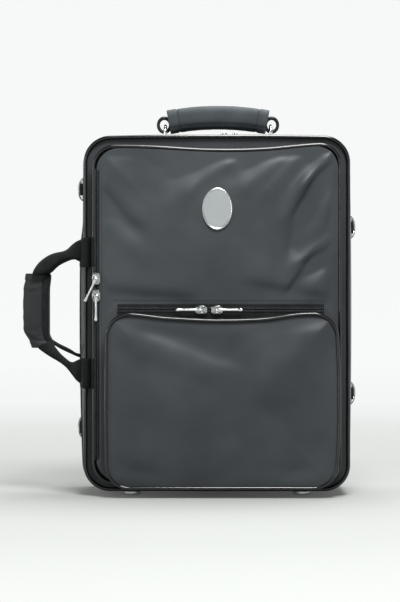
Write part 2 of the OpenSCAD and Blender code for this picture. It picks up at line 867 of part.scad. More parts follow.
module ring_lower_left() {
    color(nickel) strap_ring(-1, ring_lower_left_z);
}

module ring_upper_right() {
    color(nickel) strap_ring(1, ring_upper_right_z);
}

module ring_lower_right() {
    color(nickel) strap_ring(1, ring_lower_right_z);
}

// Sliders and pulls

module seam_slider_left() {
    color(nickel) on_seam(seam_left_x) slider(1, 90);
}

module seam_slider_right() {
    color(nickel) on_seam(seam_right_x) slider(1, 90);
}

module music_slider_upper() {
    color(nickel) on_music_zip(music_upper_z) slider(-1, 180 - pull_lean);
}

module music_slider_lower() {
    color(nickel) on_music_zip(music_lower_z) slider(-1, 180);
}

module pocket_slider_left() {
    color(nickel) on_pocket_zip(pocket_left_x) slider(-1, 180);
}

module pocket_slider_right() {
    color(nickel) on_pocket_zip(pocket_right_x) slider(-1, 0);
}

module seam_pull_left() {
    color(chrome) on_seam(seam_left_x) pull(90, seam_pull_l, seam_pull_droop);
}

module seam_pull_right() {
    color(chrome) on_seam(seam_right_x) pull(90, seam_pull_l, seam_pull_droop);
}

module music_pull_upper() {
    color(chrome) on_music_zip(music_upper_z) pull(180 - pull_lean, pull_l);
}

module music_pull_lower() {
    color(chrome) on_music_zip(music_lower_z) pull(180, pull_l);
}

module pocket_pull_left() {
    color(chrome) on_pocket_zip(pocket_left_x) pull(180, pull_l);
}

module pocket_pull_right() {
    color(chrome) on_pocket_zip(pocket_right_x) pull(0, pull_l);
}

back_cover();
back_board();
back_walls();
back_lining();
back_piping();
well_floor();
well_rails();
joint_dividers();
bell_dividers();
hinge_leaf_back();
hinge_pin();
hinge_screws_back();
seam_zip_back();
handle_posts();
handle_rivets();
ring_tabs();
webbing_patches_back();
back_feet();
front_cover();
front_board();
front_walls();
front_pad();
front_piping();
hinge_leaf_front();
hinge_screws_front();
seam_zip_front();
webbing_patches_front();
front_feet();
music_frame();
music_piping();
music_zip_fixed();
music_panel();
music_zip_panel();
oval_plate();
pocket_zip_upper();
pocket_tray();
pocket_piping();
pocket_zip_lower();
top_grip();
top_loops();
side_grip_front();
side_straps_front();
side_grip_back();
side_straps_back();
ring_upper_left();
ring_lower_left();
ring_upper_right();
ring_lower_right();
seam_slider_left();
seam_slider_right();
music_slider_upper();
music_slider_lower();
pocket_slider_left();
pocket_slider_right();
seam_pull_left();
seam_pull_right();
music_pull_upper();
music_pull_lower();
pocket_pull_left();
pocket_pull_right();
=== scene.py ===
import math

import bmesh
import bpy
from mathutils import Matrix, Vector, noise


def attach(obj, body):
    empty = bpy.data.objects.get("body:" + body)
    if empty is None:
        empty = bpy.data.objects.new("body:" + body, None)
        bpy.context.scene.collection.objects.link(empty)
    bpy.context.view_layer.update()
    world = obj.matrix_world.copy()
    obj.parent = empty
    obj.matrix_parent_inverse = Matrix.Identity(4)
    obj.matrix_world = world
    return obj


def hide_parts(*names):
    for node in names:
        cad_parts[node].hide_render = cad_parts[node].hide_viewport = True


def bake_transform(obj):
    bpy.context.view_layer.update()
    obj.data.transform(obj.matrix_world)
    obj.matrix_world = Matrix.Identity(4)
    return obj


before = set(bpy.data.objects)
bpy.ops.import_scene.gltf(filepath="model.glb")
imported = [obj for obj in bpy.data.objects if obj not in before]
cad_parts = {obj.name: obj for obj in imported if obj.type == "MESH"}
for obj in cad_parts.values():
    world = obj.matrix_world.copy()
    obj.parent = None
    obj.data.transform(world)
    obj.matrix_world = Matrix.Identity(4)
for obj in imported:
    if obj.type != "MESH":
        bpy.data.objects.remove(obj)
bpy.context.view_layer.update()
print("stage: frame loaded")

mm = 0.001


# camera, light and floor

cameraValues = {"lens": 120.0, "sensor": 36.0, "azimuth": 0.3, "target": (-17.8, -45.0, 207.4),
                "distance": 2122.0}
lightValues = {
    "key": {"place": (180, -820, 1450), "size": 520, "power": 34.5},
    "fill": {"place": (-1300, -1500, 900), "size": 800, "power": 3.0},
    "top": {"place": (150, 300, 1500), "size": 800, "power": 24.0},
    "strip": {"place": (-1700, -760, 420), "size": 90, "tall": 1300, "power": 8.0},
    "world": 0.22,
}


def hexColour(text, alpha=1.0):
    parts = [int(text[i:i + 2], 16) / 255 for i in (1, 3, 5)]
    return tuple(p / 12.92 if p <= 0.04045 else ((p + 0.055) / 1.055) ** 2.4 for p in parts) + (alpha,)


def placeCamera():
    turn = math.radians(cameraValues["azimuth"])
    target = Vector(cameraValues["target"]) * mm
    back = Vector((math.sin(turn), -math.cos(turn), 0)) * cameraValues["distance"] * mm
    bpy.ops.object.camera_add(location=target + back)
    camera = bpy.context.object
    camera.rotation_euler = (-back).to_track_quat("-Z", "Y").to_euler()
    camera.data.lens = cameraValues["lens"]
    camera.data.sensor_width = cameraValues["sensor"]
    bpy.context.scene.camera = camera


def placeLights():
    aim = Vector((0, 0, 200)) * mm
    for name in ("key", "fill", "top", "strip"):
        values = lightValues[name]
        bpy.ops.object.light_add(type="AREA", location=Vector(values["place"]) * mm)
        lamp = bpy.context.object
        lamp.rotation_euler = (aim - lamp.location).to_track_quat("-Z", "Y").to_euler()
        lamp.data.size = values["size"] * mm
        if "tall" in values:  # a narrow upright box, whose reflection draws thin lines on the piping
            lamp.data.shape = "RECTANGLE"
            lamp.data.size_y = values["tall"] * mm
        lamp.data.energy = values["power"]
    world = bpy.data.worlds.new("studio")
    world.use_nodes = True
    world.node_tree.nodes["Background"].inputs["Color"].default_value = hexColour("#f7f9f8")
    world.node_tree.nodes["Background"].inputs["Strength"].default_value = lightValues["world"]
    bpy.context.scene.world = world


def leaveEdit():
    if bpy.context.object and bpy.context.object.mode != "OBJECT":
        bpy.ops.object.mode_set(mode="OBJECT")
    bpy.ops.object.select_all(action="DESELECT")


def makeActive(piece):
    leaveEdit()
    piece.select_set(True)
    bpy.context.view_layer.objects.active = piece


def pick(piece, kind, test):  # opens the piece in edit mode with only the wanted elements selected
    makeActive(piece)
    bpy.ops.object.mode_set(mode="EDIT")
    bpy.ops.mesh.select_mode(type=kind)
    bpy.ops.mesh.select_all(action="DESELECT")
    mesh = bmesh.from_edit_mesh(piece.data)
    for element in {"VERT": mesh.verts, "EDGE": mesh.edges, "FACE": mesh.faces}[kind]:
        if test(element):
            element.select_set(True)
    mesh.select_flush_mode()
    bmesh.update_edit_mesh(piece.data)


def applyPlace(piece):
    makeActive(piece)
    bpy.ops.object.transform_apply(location=True, rotation=True, scale=True)


def applyModifier(piece, kind, **settings):
    makeActive(piece)
    modifier = piece.modifiers.new(kind.lower(), kind)
    for name, value in settings.items():
        setattr(modifier, name, value)
    bpy.ops.object.modifier_apply(modifier=modifier.name)


def movePoints(piece, move):  # move takes and gives millimetres
    for vertex in piece.data.vertices:
        vertex.co = Vector(move(vertex.co * 1000)) * mm
    piece.data.update()


def cleanUp(piece, merge=0.02):
    pick(piece, "VERT", lambda v: True)
    bpy.ops.mesh.remove_doubles(threshold=merge * mm)
    bpy.ops.mesh.normals_make_consistent(inside=False)
    leaveEdit()


def clamp(value):
    return max(0.0, min(1.0, value))


def smooth(low, high, value):
    t = clamp((value - low) / (high - low))
    return t * t * (3 - 2 * t)


def bulge(edge, reach):  # rises from 0 at an edge to 1 at the reach and beyond
    return 1 - (1 - clamp(edge / reach)) ** 2


def ripple(x, y, z):  # a soft random wave between about -1 and 1, the same on every run
    return noise.noise(Vector((x, y, z)))


# materials

# millimetres; real threads are 0.3 apart in the nylon and real plies about 1.2, too fine to show
threadPitch = {"nylon": 0.9, "webbing": 1.4}
plyPitch = 7.0


def noiseScale(size):  # for marks of about this size in millimetres
    return 1 / (size * mm)


def waveScale(pitch):  # for bands this far apart in millimetres; a wave texture adds a factor of 20
    return math.tau / (pitch * mm) / 20


def addNode(tree, kind, inputs=None, **settings):
    made = tree.nodes.new("ShaderNode" + kind)
    for name, value in settings.items():
        setattr(made, name, value)
    for name, value in (inputs or {}).items():
        if isinstance(value, bpy.types.NodeSocket):
            tree.links.new(value, made.inputs[name])
        else:
            made.inputs[name].default_value = value
    return made


def newMaterial(name, colour, sockets):
    material = bpy.data.materials.new(name)
    material.use_nodes = True
    shader = material.node_tree.nodes["Principled BSDF"]
    shader.inputs["Base Color"].default_value = hexColour(colour)
    for socket, value in sockets.items():
        shader.inputs[socket].default_value = value
    place = addNode(material.node_tree, "TexCoord").outputs["Object"]
    return material, material.node_tree, place


def dressSurface(material, colours=None, rough=None, relief=None):
    # each starts with a pattern; colours: dark, light and the ramp's ends; rough: least and most;
    # relief: depth in millimetres and strength
    tree = material.node_tree
    shader = tree.nodes["Principled BSDF"]
    if colours:
        pattern, dark, light, *ends = colours
        ramp = addNode(tree, "ValToRGB", {"Fac": pattern})
        first, last = ramp.color_ramp.elements
        first.position, last.position = ends or (0.35, 0.65)
        first.color, last.color = hexColour(dark), hexColour(light)
        tree.links.new(ramp.outputs["Color"], shader.inputs["Base Color"])
    if rough:
        pattern, least, most = rough
        spread = addNode(tree, "MapRange", {"Value": pattern, "To Min": least, "To Max": most})
        tree.links.new(spread.outputs["Result"], shader.inputs["Roughness"])
    if relief:
        pattern, depth, strength = relief
        bump = addNode(tree, "Bump", {"Height": pattern, "Distance": depth * mm, "Strength": strength})
        tree.links.new(bump.outputs["Normal"], shader.inputs["Normal"])
    return material


def crossedThreads(tree, place, pitch):  # threads that cross along X and Z, one pitch apart
    scale = waveScale(pitch)
    first, second = [
        addNode(tree, "TexWave", {"Vector": place, "Scale": scale}, bands_direction=axis).outputs["Fac"]
        for axis in ("X", "Z")]
    return addNode(tree, "Math", {0: first, 1: second}, operation="MAXIMUM").outputs[0]


def coatedNylon(name, dark, light, roughness):
    # nylon woven tight and coated: a satin cloth whose sheen runs in broad soft patches
    material, tree, place = newMaterial(name, light, {"Roughness": roughness, "Sheen Weight": 0.06,
                                                      "Sheen Roughness": 0.45, "Specular IOR Level": 0.36})
    cloud = addNode(tree, "TexNoise", {"Vector": place, "Scale": noiseScale(71.4),
                                       "Detail": 4.0}).outputs["Fac"]
    grain = addNode(tree, "TexNoise", {"Vector": place, "Scale": noiseScale(0.714),
                                       "Detail": 2.0}).outputs["Fac"]
    weave = crossedThreads(tree, place, threadPitch["nylon"])
    both = addNode(tree, "Math", {0: weave, 1: grain}, operation="ADD").outputs[0]
    return dressSurface(material, (cloud, dark, light), (cloud, roughness - 0.05, roughness + 0.07),
                        (both, 0.03, 0.5))


def extrudedPiping():
    # PVC drawn smooth over a cord: black, with sharp bright lines where it turns to the light
    material, tree, place = newMaterial("extrudedGlossPvc", "#070808", {"Roughness": 0.13,
                                                                        "Specular IOR Level": 0.55})
    waves = addNode(tree, "TexNoise", {"Vector": place, "Scale": noiseScale(8.33),
                                       "Detail": 3.0}).outputs["Fac"]
    return dressSurface(material, (waves, "#050606", "#0c0e0f"), (waves, 0.09, 0.17), (waves, 0.12, 0.5))


def wovenWebbing(name, dark, light):
    # polypropylene tape woven in close ribs: dull black with a faint ribbed light
    material, tree, place = newMaterial(name, light, {"Roughness": 0.85, "Sheen Weight": 0.05,
                                                      "Sheen Roughness": 0.5, "Specular IOR Level": 0.18})
    wear = addNode(tree, "TexNoise", {"Vector": place, "Scale": noiseScale(11.1),
                                      "Detail": 4.0}).outputs["Fac"]
    return dressSurface(material, (wear, dark, light),
                        relief=(crossedThreads(tree, place, threadPitch["webbing"]), 0.16, 0.7))


def grainedLeather(name, dark, light, roughness, grain=2.38, depth=0.12):
    # leather cloth pressed with a fine grain: small soft pebbles that break up the light
    material, tree, place = newMaterial(name, light, {"Roughness": roughness, "Specular IOR Level": 0.26})
    pebbles = addNode(tree, "TexVoronoi", {"Vector": place, "Scale": noiseScale(grain)},
                      feature="SMOOTH_F1")
    cloud = addNode(tree, "TexNoise", {"Vector": place, "Scale": noiseScale(25),
                                       "Detail": 5.0}).outputs["Fac"]
    return dressSurface(material, (cloud, dark, light), (cloud, roughness - 0.06, roughness + 0.08),
                        (pebbles.outputs["Distance"], depth, 0.5))


def cutVelvet():
    # short cut pile: near black face on, with a pale bloom where it is seen edge on
    material, tree, place = newMaterial("cutVelvet", "#15181d", {
        "Roughness": 0.95, "Sheen Weight": 0.8, "Sheen Roughness": 0.35,
        "Sheen Tint": hexColour("#8b93a5")})
    pile = addNode(tree, "TexNoise", {"Vector": place, "Scale": noiseScale(1.11),
                                      "Detail": 3.0}).outputs["Fac"]
    strokes = addNode(tree, "TexNoise", {"Vector": place, "Scale": noiseScale(45.5),
                                         "Detail": 3.0}).outputs["Fac"]
    return dressSurface(material, (strokes, "#0d1014", "#20252d"), relief=(pile, 0.25, 0.6))


def platedMetal(name, colour, roughness, scratch=0.05):
    # nickel or chrome over a pressed or cast piece: bright, with faint rubbing marks
    material, tree, place = newMaterial(name, colour, {"Metallic": 1.0, "Roughness": roughness})
    marks = addNode(tree, "TexNoise", {"Vector": place, "Scale": noiseScale(3.85),
                                       "Detail": 5.0}).outputs["Fac"]
    return dressSurface(material, rough=(marks, roughness - scratch, roughness + scratch),
                        relief=(marks, 0.03, 0.25))


def lacqueredSteel():
    # steel strip rolled and lacquered black: even, half gloss
    material, tree, place = newMaterial("lacqueredSteel", "#141617", {"Roughness": 0.4})
    marks = addNode(tree, "TexNoise", {"Vector": place, "Scale": noiseScale(5),
                                       "Detail": 4.0}).outputs["Fac"]
    return dressSurface(material, (marks, "#101213", "#1c1f20"), (marks, 0.33, 0.5))


def laminatedWood():
    # plywood, sawn and stained dark brown: wavy bands, drawn further apart than real plies
    material, tree, place = newMaterial("stainedPlywood", "#35291d", {"Roughness": 0.7})
    plies = addNode(tree, "TexWave", {"Vector": place, "Scale": waveScale(plyPitch), "Distortion": 2.5,
                                      "Detail": 3.0}, bands_direction="Y").outputs["Fac"]
    return dressSurface(material, (plies, "#291f16", "#413325", 0.1, 0.9), relief=(plies, 0.08, 0.4))


def nylonCoil():
    # nylon wire wound and sewn to a tape: black, slightly glossy
    material, tree, place = newMaterial("woundNylonCoil", "#15181a", {"Roughness": 0.42})
    spots = addNode(tree, "TexNoise", {"Vector": place, "Scale": noiseScale(3.33),
                                       "Detail": 2.0}).outputs["Fac"]
    return dressSurface(material, (spots, "#101314", "#1f2325"))


finishes = {
    "satin": coatedNylon("coatedNylonSatin", "#2d3134", "#373c3f", 0.44),
    "sideCloth": coatedNylon("coatedNylonSides", "#212527", "#2c3033", 0.5),
    "piping": extrudedPiping(),
    "webbing": wovenWebbing("wovenWebbing", "#0e1110", "#1b1f1e"),
    "patch": wovenWebbing("wovenWebbingPatch", "#090b0b", "#121514"),
    "tape": wovenWebbing("wovenZipTape", "#111314", "#1c1f20"),
    "grip": grainedLeather("pressedLeatherCloth", "#303538", "#3b4144", 0.68),
    "sideGrip": grainedLeather("pressedLeatherClothDark", "#1d2021", "#292c2d", 0.58),
    "loop": grainedLeather("smoothBlackLeather", "#0e1011", "#1c1f20", 0.36, 1.43, 0.06),
    "velvet": cutVelvet(),
    "nickel": platedMetal("castNickelPlate", "#a3a6a5", 0.24),
    "chrome": platedMetal("polishedChromePlate", "#ccd0d0", 0.12),
    "brushed": platedMetal("brushedPlate", "#b4b8b9", 0.34),
    "black": lacqueredSteel(),
    "wood": laminatedWood(),
    "coil": nylonCoil(),
    "thread": wovenWebbing("spunThread", "#1a1d1e", "#2c3031"),
}
print("stage: finishes made")


def finishPiece(piece, body, finish, nodes=(), angle=40):
    applyPlace(piece)
    bpy.ops.object.shade_smooth_by_angle(angle=math.radians(angle))
    piece.data.materials.clear()
    piece.data.materials.append(finishes[finish])
    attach(piece, body)
    if nodes:
        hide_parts(*nodes)
    leaveEdit()
    return piece


# shapes that several pieces start from

def addSheet(name, across, up, place):  # a grid whose points are laid where place says, in millimetres
    leaveEdit()
    bpy.ops.mesh.primitive_grid_add(x_subdivisions=across, y_subdivisions=up, size=1)
    piece = bpy.context.object
    piece.name = name
    for vertex in piece.data.vertices:
        i = round((vertex.co.x + 0.5) * across)
        j = round((vertex.co.y + 0.5) * up)
        vertex.co = Vector(place(i, j)) * mm
    piece.data.update()
    return piece


def roundCorner(x, z, box, radius):  # draws a point of a square-cornered box in to its round corner
    x0, x1, z0, z1 = box
    cx = min(max(x, x0 + radius), x1 - radius)
    cz = min(max(z, z0 + radius), z1 - radius)
    u, v = x - cx, z - cz
    far = math.hypot(u, v)
    if far < 1e-9:
        return x, z
    share = max(abs(u), abs(v)) / far
    return cx + u * share, cz + v * share


def addPanel(name, box, radius, y, step, facing=-1):  # an upright round-cornered sheet; -1 faces the front
    x0, x1, z0, z1 = box
    across, up = round((x1 - x0) / step), round((z1 - z0) / step)

    def place(i, j):
        x = x0 + (x1 - x0) * i / across
        z = z0 + (z1 - z0) * (j if facing < 0 else up - j) / up
        x, z = roundCorner(x, z, box, radius)
        return x, y, z
    return addSheet(name, across, up, place)


def pullWalls(piece, depths):  # extrudes the sheet's edge along Y in steps
    pick(piece, "EDGE", lambda e: e.is_boundary)
    for depth in depths:
        bpy.ops.mesh.extrude_region_move(TRANSFORM_OT_translate={"value": (0, depth * mm, 0)})
    leaveEdit()


def outline(box, radius, pitch=3.0):  # points round a round-cornered box with their outward directions
    x0, x1, z0, z1 = box
    points = []
    corners = [(x1 - radius, z1 - radius, 0), (x0 + radius, z1 - radius, 90),
               (x0 + radius, z0 + radius, 180), (x1 - radius, z0 + radius, 270)]
    turns = max(6, round(radius * math.pi / 2 / pitch))
    for number, (cx, cz, start) in enumerate(corners):
        for k in range(turns + 1):
            angle = math.radians(start + 90 * k / turns)
            points.append((cx + radius * math.cos(angle), cz + radius * math.sin(angle),
                           math.cos(angle), math.sin(angle)))
        nextX, nextZ, _ = corners[(number + 1) % 4]
        angle = math.radians(start + 90)
        dx, dz = math.cos(angle), math.sin(angle)
        startX, startZ = cx + radius * dx, cz + radius * dz
        endX, endZ = nextX + radius * dx, nextZ + radius * dz
        count = max(2, round(math.hypot(endX - startX, endZ - startZ) / pitch))
        for k in range(1, count):
            t = k / count
            points.append((startX + (endX - startX) * t, startZ + (endZ - startZ) * t, dx, dz))
    return points


def addTube(name, points, radius, closed=False, sides=10):
    leaveEdit()
    line = bpy.data.curves.new(name, "CURVE")
    line.dimensions = "3D"
    line.bevel_depth = radius * mm
    line.bevel_resolution = max(1, sides // 2 - 1)
    line.use_fill_caps = not closed
    spline = line.splines.new("POLY")
    spline.points.add(len(points) - 1)
    for point, place in zip(spline.points, points):
        point.co = (*(Vector(place) * mm), 1)
    spline.use_cyclic_u = closed
    piece = bpy.data.objects.new(name, line)
    bpy.context.scene.collection.objects.link(piece)
    makeActive(piece)
    bpy.ops.object.convert(target="MESH")
    piece = bpy.context.object
    piece.name = name
    cleanUp(piece, 0.005)
    return piece


def copyTo(name, pattern, places):  # one mesh of many copies of a small pattern
    points = [v.co.copy() for v in pattern.data.vertices]
    faces = [tuple(p.vertices) for p in pattern.data.polygons]
    allPoints, allFaces = [], []
    for place in places:
        first = len(allPoints)
        allPoints += [place @ p for p in points]
        allFaces += [tuple(first + i for i in face) for face in faces]
    mesh = bpy.data.meshes.new(name)
    mesh.from_pydata(allPoints, [], allFaces)
    piece = bpy.data.objects.new(name, mesh)
    bpy.context.scene.collection.objects.link(piece)
    return piece


def dropPiece(piece):
    leaveEdit()
    bpy.data.objects.remove(piece)


def along(points, pitch, closed=False):  # (place, direction) every pitch along a line, in millimetres
    spots = [Vector(p) for p in points] + ([Vector(points[0])] if closed else [])
    found, carried = [], 0.0
    for a, b in zip(spots, spots[1:]):
        length = (b - a).length
        while carried <= length and length > 0:
            found.append((a.lerp(b, carried / length), (b - a).normalized()))
            carried += pitch
        carried -= length
    return found


def standing(place, direction, normal):  # a matrix whose X runs along direction and Z looks along normal
    x = direction.normalized()
    z = (normal - x * normal.dot(x)).normalized()
    y = z.cross(x)
    matrix = Matrix((x, y, z)).transposed().to_4x4()
    matrix.translation = place * mm
    return matrix


beads = {  # segments and rings of a sphere, and its half sizes in millimetres
    "stitch": (6, 4, (1.15, 0.3, 0.26)),  # a thread that dips in at both ends
    "winding": (8, 6, (0.66, 1.15, 0.62)),  # one turn of a zip's coil
}


def addBeads(name, kind, points, normals, pitch, closed=False):  # X of each lies along the line, Z outwards
    segments, rings, halfSizes = beads[kind]
    leaveEdit()
    bpy.ops.mesh.primitive_uv_sphere_add(segments=segments, ring_count=rings, radius=1 * mm)
    bead = bpy.context.object
    bead.scale = halfSizes
    applyPlace(bead)
    places = [standing(place, direction, normals(place) if callable(normals) else Vector(normals))
              for place, direction in along(points, pitch, closed)]
    piece = copyTo(name, bead, places)
    dropPiece(bead)
    return piece


def addStitches(name, points, normals, body, pitch=3.4, closed=False):
    finishPiece(addBeads(name, "stitch", points, normals, pitch, closed), body, "thread", angle=60)


print("stage: tools ready")

# the case's cloth

caseBox = (-142.0, 142.0, 5.0, 383.0)
caseHalf, caseFoot, caseTop = caseBox[1:]
shellValues = {"radius": 28.0, "clothThick": 1.5, "step": 6.0, "backY": 78.0, "frontY": -30.0,
               "seamGap": 0.2, "backCrown": 2.6, "crownReach": 60.0, "sideSwell": 3.2, "leftShare": 1.3,
               "rightShare": 0.75, "swellFoot": 12.0, "swellHigh": 364.0, "topArch": 1.7, "archHalf": 130.0}


def sideSwell(x, y, z):  # how far the cloth of the left and right sides stands out, in millimetres
    v = shellValues
    height = math.sin(math.pi * clamp((z - v["swellFoot"]) / v["swellHigh"])) ** 0.8
    if x < 0:
        height *= v["leftShare"] - 1.05 * smooth(262, 296, z)
        depth = smooth(-30, -8, y) * (1 - smooth(2, 19, y))
    else:  # less by the hinge, which needs room to turn
        depth = smooth(-30, -14, y) * smooth(1.8, 9, abs(y)) * (1 - smooth(9, 19, y)) * v["rightShare"]
    return v["sideSwell"] * height * depth


def topRise(x, y, z):  # the top edge of the front shell is a little arched
    half = shellValues["archHalf"]
    arch = 1 - (min(half, abs(x - 4)) / half) ** 3
    return shellValues["topArch"] * arch * smooth(-11, -27, y) * smooth(345, 380, z)


def swellOut(x, y, z):  # the same in X for a point of a side, fading out towards the front and back
    return math.copysign(sideSwell(x, y, z) * smooth(112, 141, abs(x)), x)


def swellSides(point):
    x, y, z = point
    return x + swellOut(x, y, z), y, z + topRise(x, y, z)


def shellCloth(label, faceY, steps, facing):
    v = shellValues
    piece = addPanel(label + "Cloth", caseBox, v["radius"], faceY, v["step"], facing)
    pullWalls(piece, [(facing * v["seamGap"] - faceY) / steps] * steps)

    def shape(point):
        x, y, z = swellSides(point)
        if facing > 0 and abs(y - faceY) < 0.01:
            y += v["backCrown"] * bulge(min(caseHalf - abs(x), caseTop - z, z - caseFoot), v["crownReach"])
        return x, y, z
    movePoints(piece, shape)
    applyModifier(piece, "SOLIDIFY", thickness=v["clothThick"] * mm, offset=-1)
    finishPiece(piece, label + "_shell", "sideCloth", [label + "_cover"], 50)


shellCloth("back", shellValues["backY"], 13, 1)
shellCloth("front", shellValues["frontY"], 6, -1)
print("stage: case cloth")

pipingValues = {
    "backPiping": {"box": (-139.8, 139.8, 7.2, 380.8), "radius": 25.8, "y": 80.1, "r": 2.1,
                   "body": "back_shell", "node": "back_piping"},
    "frontPiping": {"box": (-139.8, 139.8, 7.2, 380.8), "radius": 25.8, "y": -32.1, "r": 2.1,
                    "body": "front_shell", "node": "front_piping"},
    "musicPiping": {"box": (-130.4, 130.4, 15.0, 371.0), "radius": 22.0, "y": -44.6, "r": 1.6,
                    "body": "front_shell", "node": "music_piping"},
    "pocketPiping": {"box": (-115.3, 124.4, 10.7, 190.8), "radius": 23.3, "y": -60.1, "r": 1.7,
                     "body": "accessory_pocket", "node": "pocket_piping"},
}
pipingWaver = 0.22


def hump(value, middle, half):  # 1 in the middle, falling to 0 at half to either side
    return math.cos(math.pi * max(-1.0, min(1.0, (value - middle) / half)) / 2) ** 2


def musicSag(x, z):  # the music pocket's top edge hangs a little in the middle and rises to the right
    return (-4.2 * hump(x, 12, 112) + 2.2 * smooth(50, 112, x)) * smooth(300, 366, z)


def pocketSag(x, z):  # so does the accessory pocket's, whose corners stand up
    corners = 2.6 * smooth(-50, -98, x) + 3.0 * smooth(48, 92, x)
    return (-4.2 * hump(x, 6, 104) + corners) * smooth(120, 186, z)


def pocketBow(x, z):  # its sides bulge, the right one more
    height = math.sin(math.pi * clamp((z - 9) / 183.5)) ** 0.8
    return (4.2 if x > 0 else -1.6) * height * smooth(70, 118, abs(x))


pipingShifts = {
    "frontPiping": lambda x, z: (0, topRise(x, -32.1, z)),
    "musicPiping": lambda x, z: (0, musicSag(x, z)),
    "pocketPiping": lambda x, z: (pocketBow(x, z), pocketSag(x, z)),
}
for name, values in pipingValues.items():
    points = []
    for x, z, dx, dz in outline(values["box"], values["radius"]):
        waver = pipingWaver * ripple(x * 0.03, z * 0.03, values["y"])
        right, up = pipingShifts[name](x, z) if name in pipingShifts else (0, 0)
        points.append((x + dx * waver + right, values["y"], z + dz * waver + up))
    piping = addTube(name, points, values["r"], closed=True, sides=12)
    finishPiece(piping, values["body"], "piping", [values["node"]], 60)
print("stage: piping")

# music pocket: gusset and front

musicValues = {"gussetBox": (-131.4, 131.4, 14.0, 372.0), "gussetRadius": 23.0, "gussetY": -43.0,
               "gussetDeep": 13.0, "panelBox": (-127.4, 128.4, 17.0, 369.0), "panelRadius": 23.6,
               "panelY": -44.0, "step": 2.2, "crown": 6.0, "crownReach": 110.0, "hem": 1.5}
plateValues = {"x": 0.5, "z": 304.8, "halfWide": 16.2, "halfHigh": 22.6, "seat": -49.3, "lean": 0.0476}

gusset = addPanel("musicGusset", musicValues["gussetBox"], musicValues["gussetRadius"],
                  musicValues["gussetY"], 4.0)
pullWalls(gusset, [musicValues["gussetDeep"] / 6] * 6)
pick(gusset, "FACE", lambda f: abs(f.normal.y) > 0.9)
bpy.ops.mesh.delete(type="FACE")
leaveEdit()


def gussetShape(point):
    x, y, z = point
    wrinkle = 0.45 * ripple(x * 0.05, y * 0.16, z * 0.05) * smooth(-30.5, -36, y) * smooth(-43, -38, y)
    return x + math.copysign(wrinkle, x), y, z + musicSag(x, z)


movePoints(gusset, gussetShape)
applyModifier(gusset, "SOLIDIFY", thickness=1.8 * mm, offset=-1)
finishPiece(gusset, "front_shell", "sideCloth", ["music_frame"], 50)

# folds of the front: both ends, half width, height (in is below 0), and how far one flank is steeper
frontFolds = [
    ((131, 356), (104, 331), 6.5, -4.4, 0.7),
    ((104, 331), (88, 304), 7.0, -5.0, 0.7),
    ((88, 304), (79, 268), 8.0, -2.6, 0.3),
    ((118, 356), (92, 330), 8.0, 2.6, 0.2),
    ((92, 330), (74, 300), 9.0, 2.4, 0.2),
    ((128, 264), (100, 249), 6.5, -4.2, 0.65),
    ((100, 249), (84, 226), 7.5, -4.2, 0.65),
    ((116, 270), (88, 248), 8.0, 2.4, 0.2),
    ((124, 332), (110, 286), 8.0, 2.4, 0.1),
    ((112, 242), (100, 222), 8.0, 1.0, 0.1),
    ((12, 354), (-28, 325), 11.0, 2.3, 0.2),
    ((-6, 366), (-44, 342), 9.0, -1.4, 0.2),
    ((66, 356), (26, 328), 11.0, 2.3, 0.2),
    ((48, 368), (14, 346), 9.0, -1.4, 0.2),
    ((84, 356), (56, 326), 8.0, 1.5, 0.2),
    ((-118, 331), (-88, 299), 12.0, 2.8, 0.6),
    ((-114, 312), (-88, 286), 11.0, -2.2, -0.3),
    ((-112, 286), (-84, 262), 12.0, 1.4, 0.2),
    ((-98, 227), (-40, 222), 15.0, 3.3, 0.55),
    ((54, 232), (104, 224), 14.0, 3.0, 0.55),
    ((-60, 262), (30, 250), 30.0, 1.6, 0.0),
]
pocketFolds = [
    ((-104, 172), (-10, 134), 15.0, 1.9, 0.2),
    ((-64, 178), (14, 150), 13.0, -2.0, 0.2),
    ((112, 180), (56, 126), 19.0, 3.2, 0.1),
    ((50, 182), (20, 160), 12.0, -1.2, 0.0),
    ((-108, 34), (-62, 20), 10.0, -1.3, 0.2),
    ((112, 60), (84, 24), 13.0, -1.2, 0.2),
    ((-20, 96), (80, 120), 30.0, 1.0, 0.0),
]


def foldHeight(foldList, x, z):
    total = 0.0
    for (ax, az), (bx, bz), width, height, lean in foldList:
        dx, dz = bx - ax, bz - az
        length = math.hypot(dx, dz)
        t = ((x - ax) * dx + (z - az) * dz) / length ** 2
        side = ((x - ax) * dz - (z - az) * dx) / length
        over = max(0.0, -t, t - 1) * length
        half = width * (1 - lean * math.tanh(side / width))
        total += height * math.exp(-(side / half) ** 2 - (over / (width * 1.6)) ** 2)
    return total


def frontHeight(x, z):  # how far the music pocket's front stands out from its flat sheet
    v = musicValues
    low, high = v["panelBox"][2:]
    edge = min(128 - abs(x), high - z, z - low)
    # the cloth is folded back along both zips, hides half the tapes and closes over their ends
    hemX = -125.8 - 2.6 * (1 - smooth(34, 42, z) + smooth(344, 352, z))
    hem = v["hem"] * smooth(hemX, hemX + 1.6, x)
    hem *= smooth(128.0, 121.5, x)  # thin where the front folds open, to clear the piping
    hemZ = 203.2 - 10 * (1 - smooth(-118, -106, x) + smooth(114, 125, x))
    aboveZip = smooth(hemZ, hemZ + 2.4, z)
    crown = v["crown"] * bulge(edge, v["crownReach"]) * (0.42 + 0.58 * smooth(203, 270, z))
    offPlate = smooth(16, 34, math.hypot(x - plateValues["x"], (z - plateValues["z"]) * 0.72))
    cloud = 1.9 * ripple(x * 0.014, z * 0.014, 3.1) + 0.5 * ripple(x * 0.045, z * 0.045, 9.7)
    loose = smooth(0, 14, edge) * offPlate * (foldHeight(frontFolds, x, z) + cloud)
    backing = (1 - aboveZip) * smooth(0, 4, min(x + 119, 127 - x)) * 2.2
    return max(hem, (crown + loose) * aboveZip, backing)


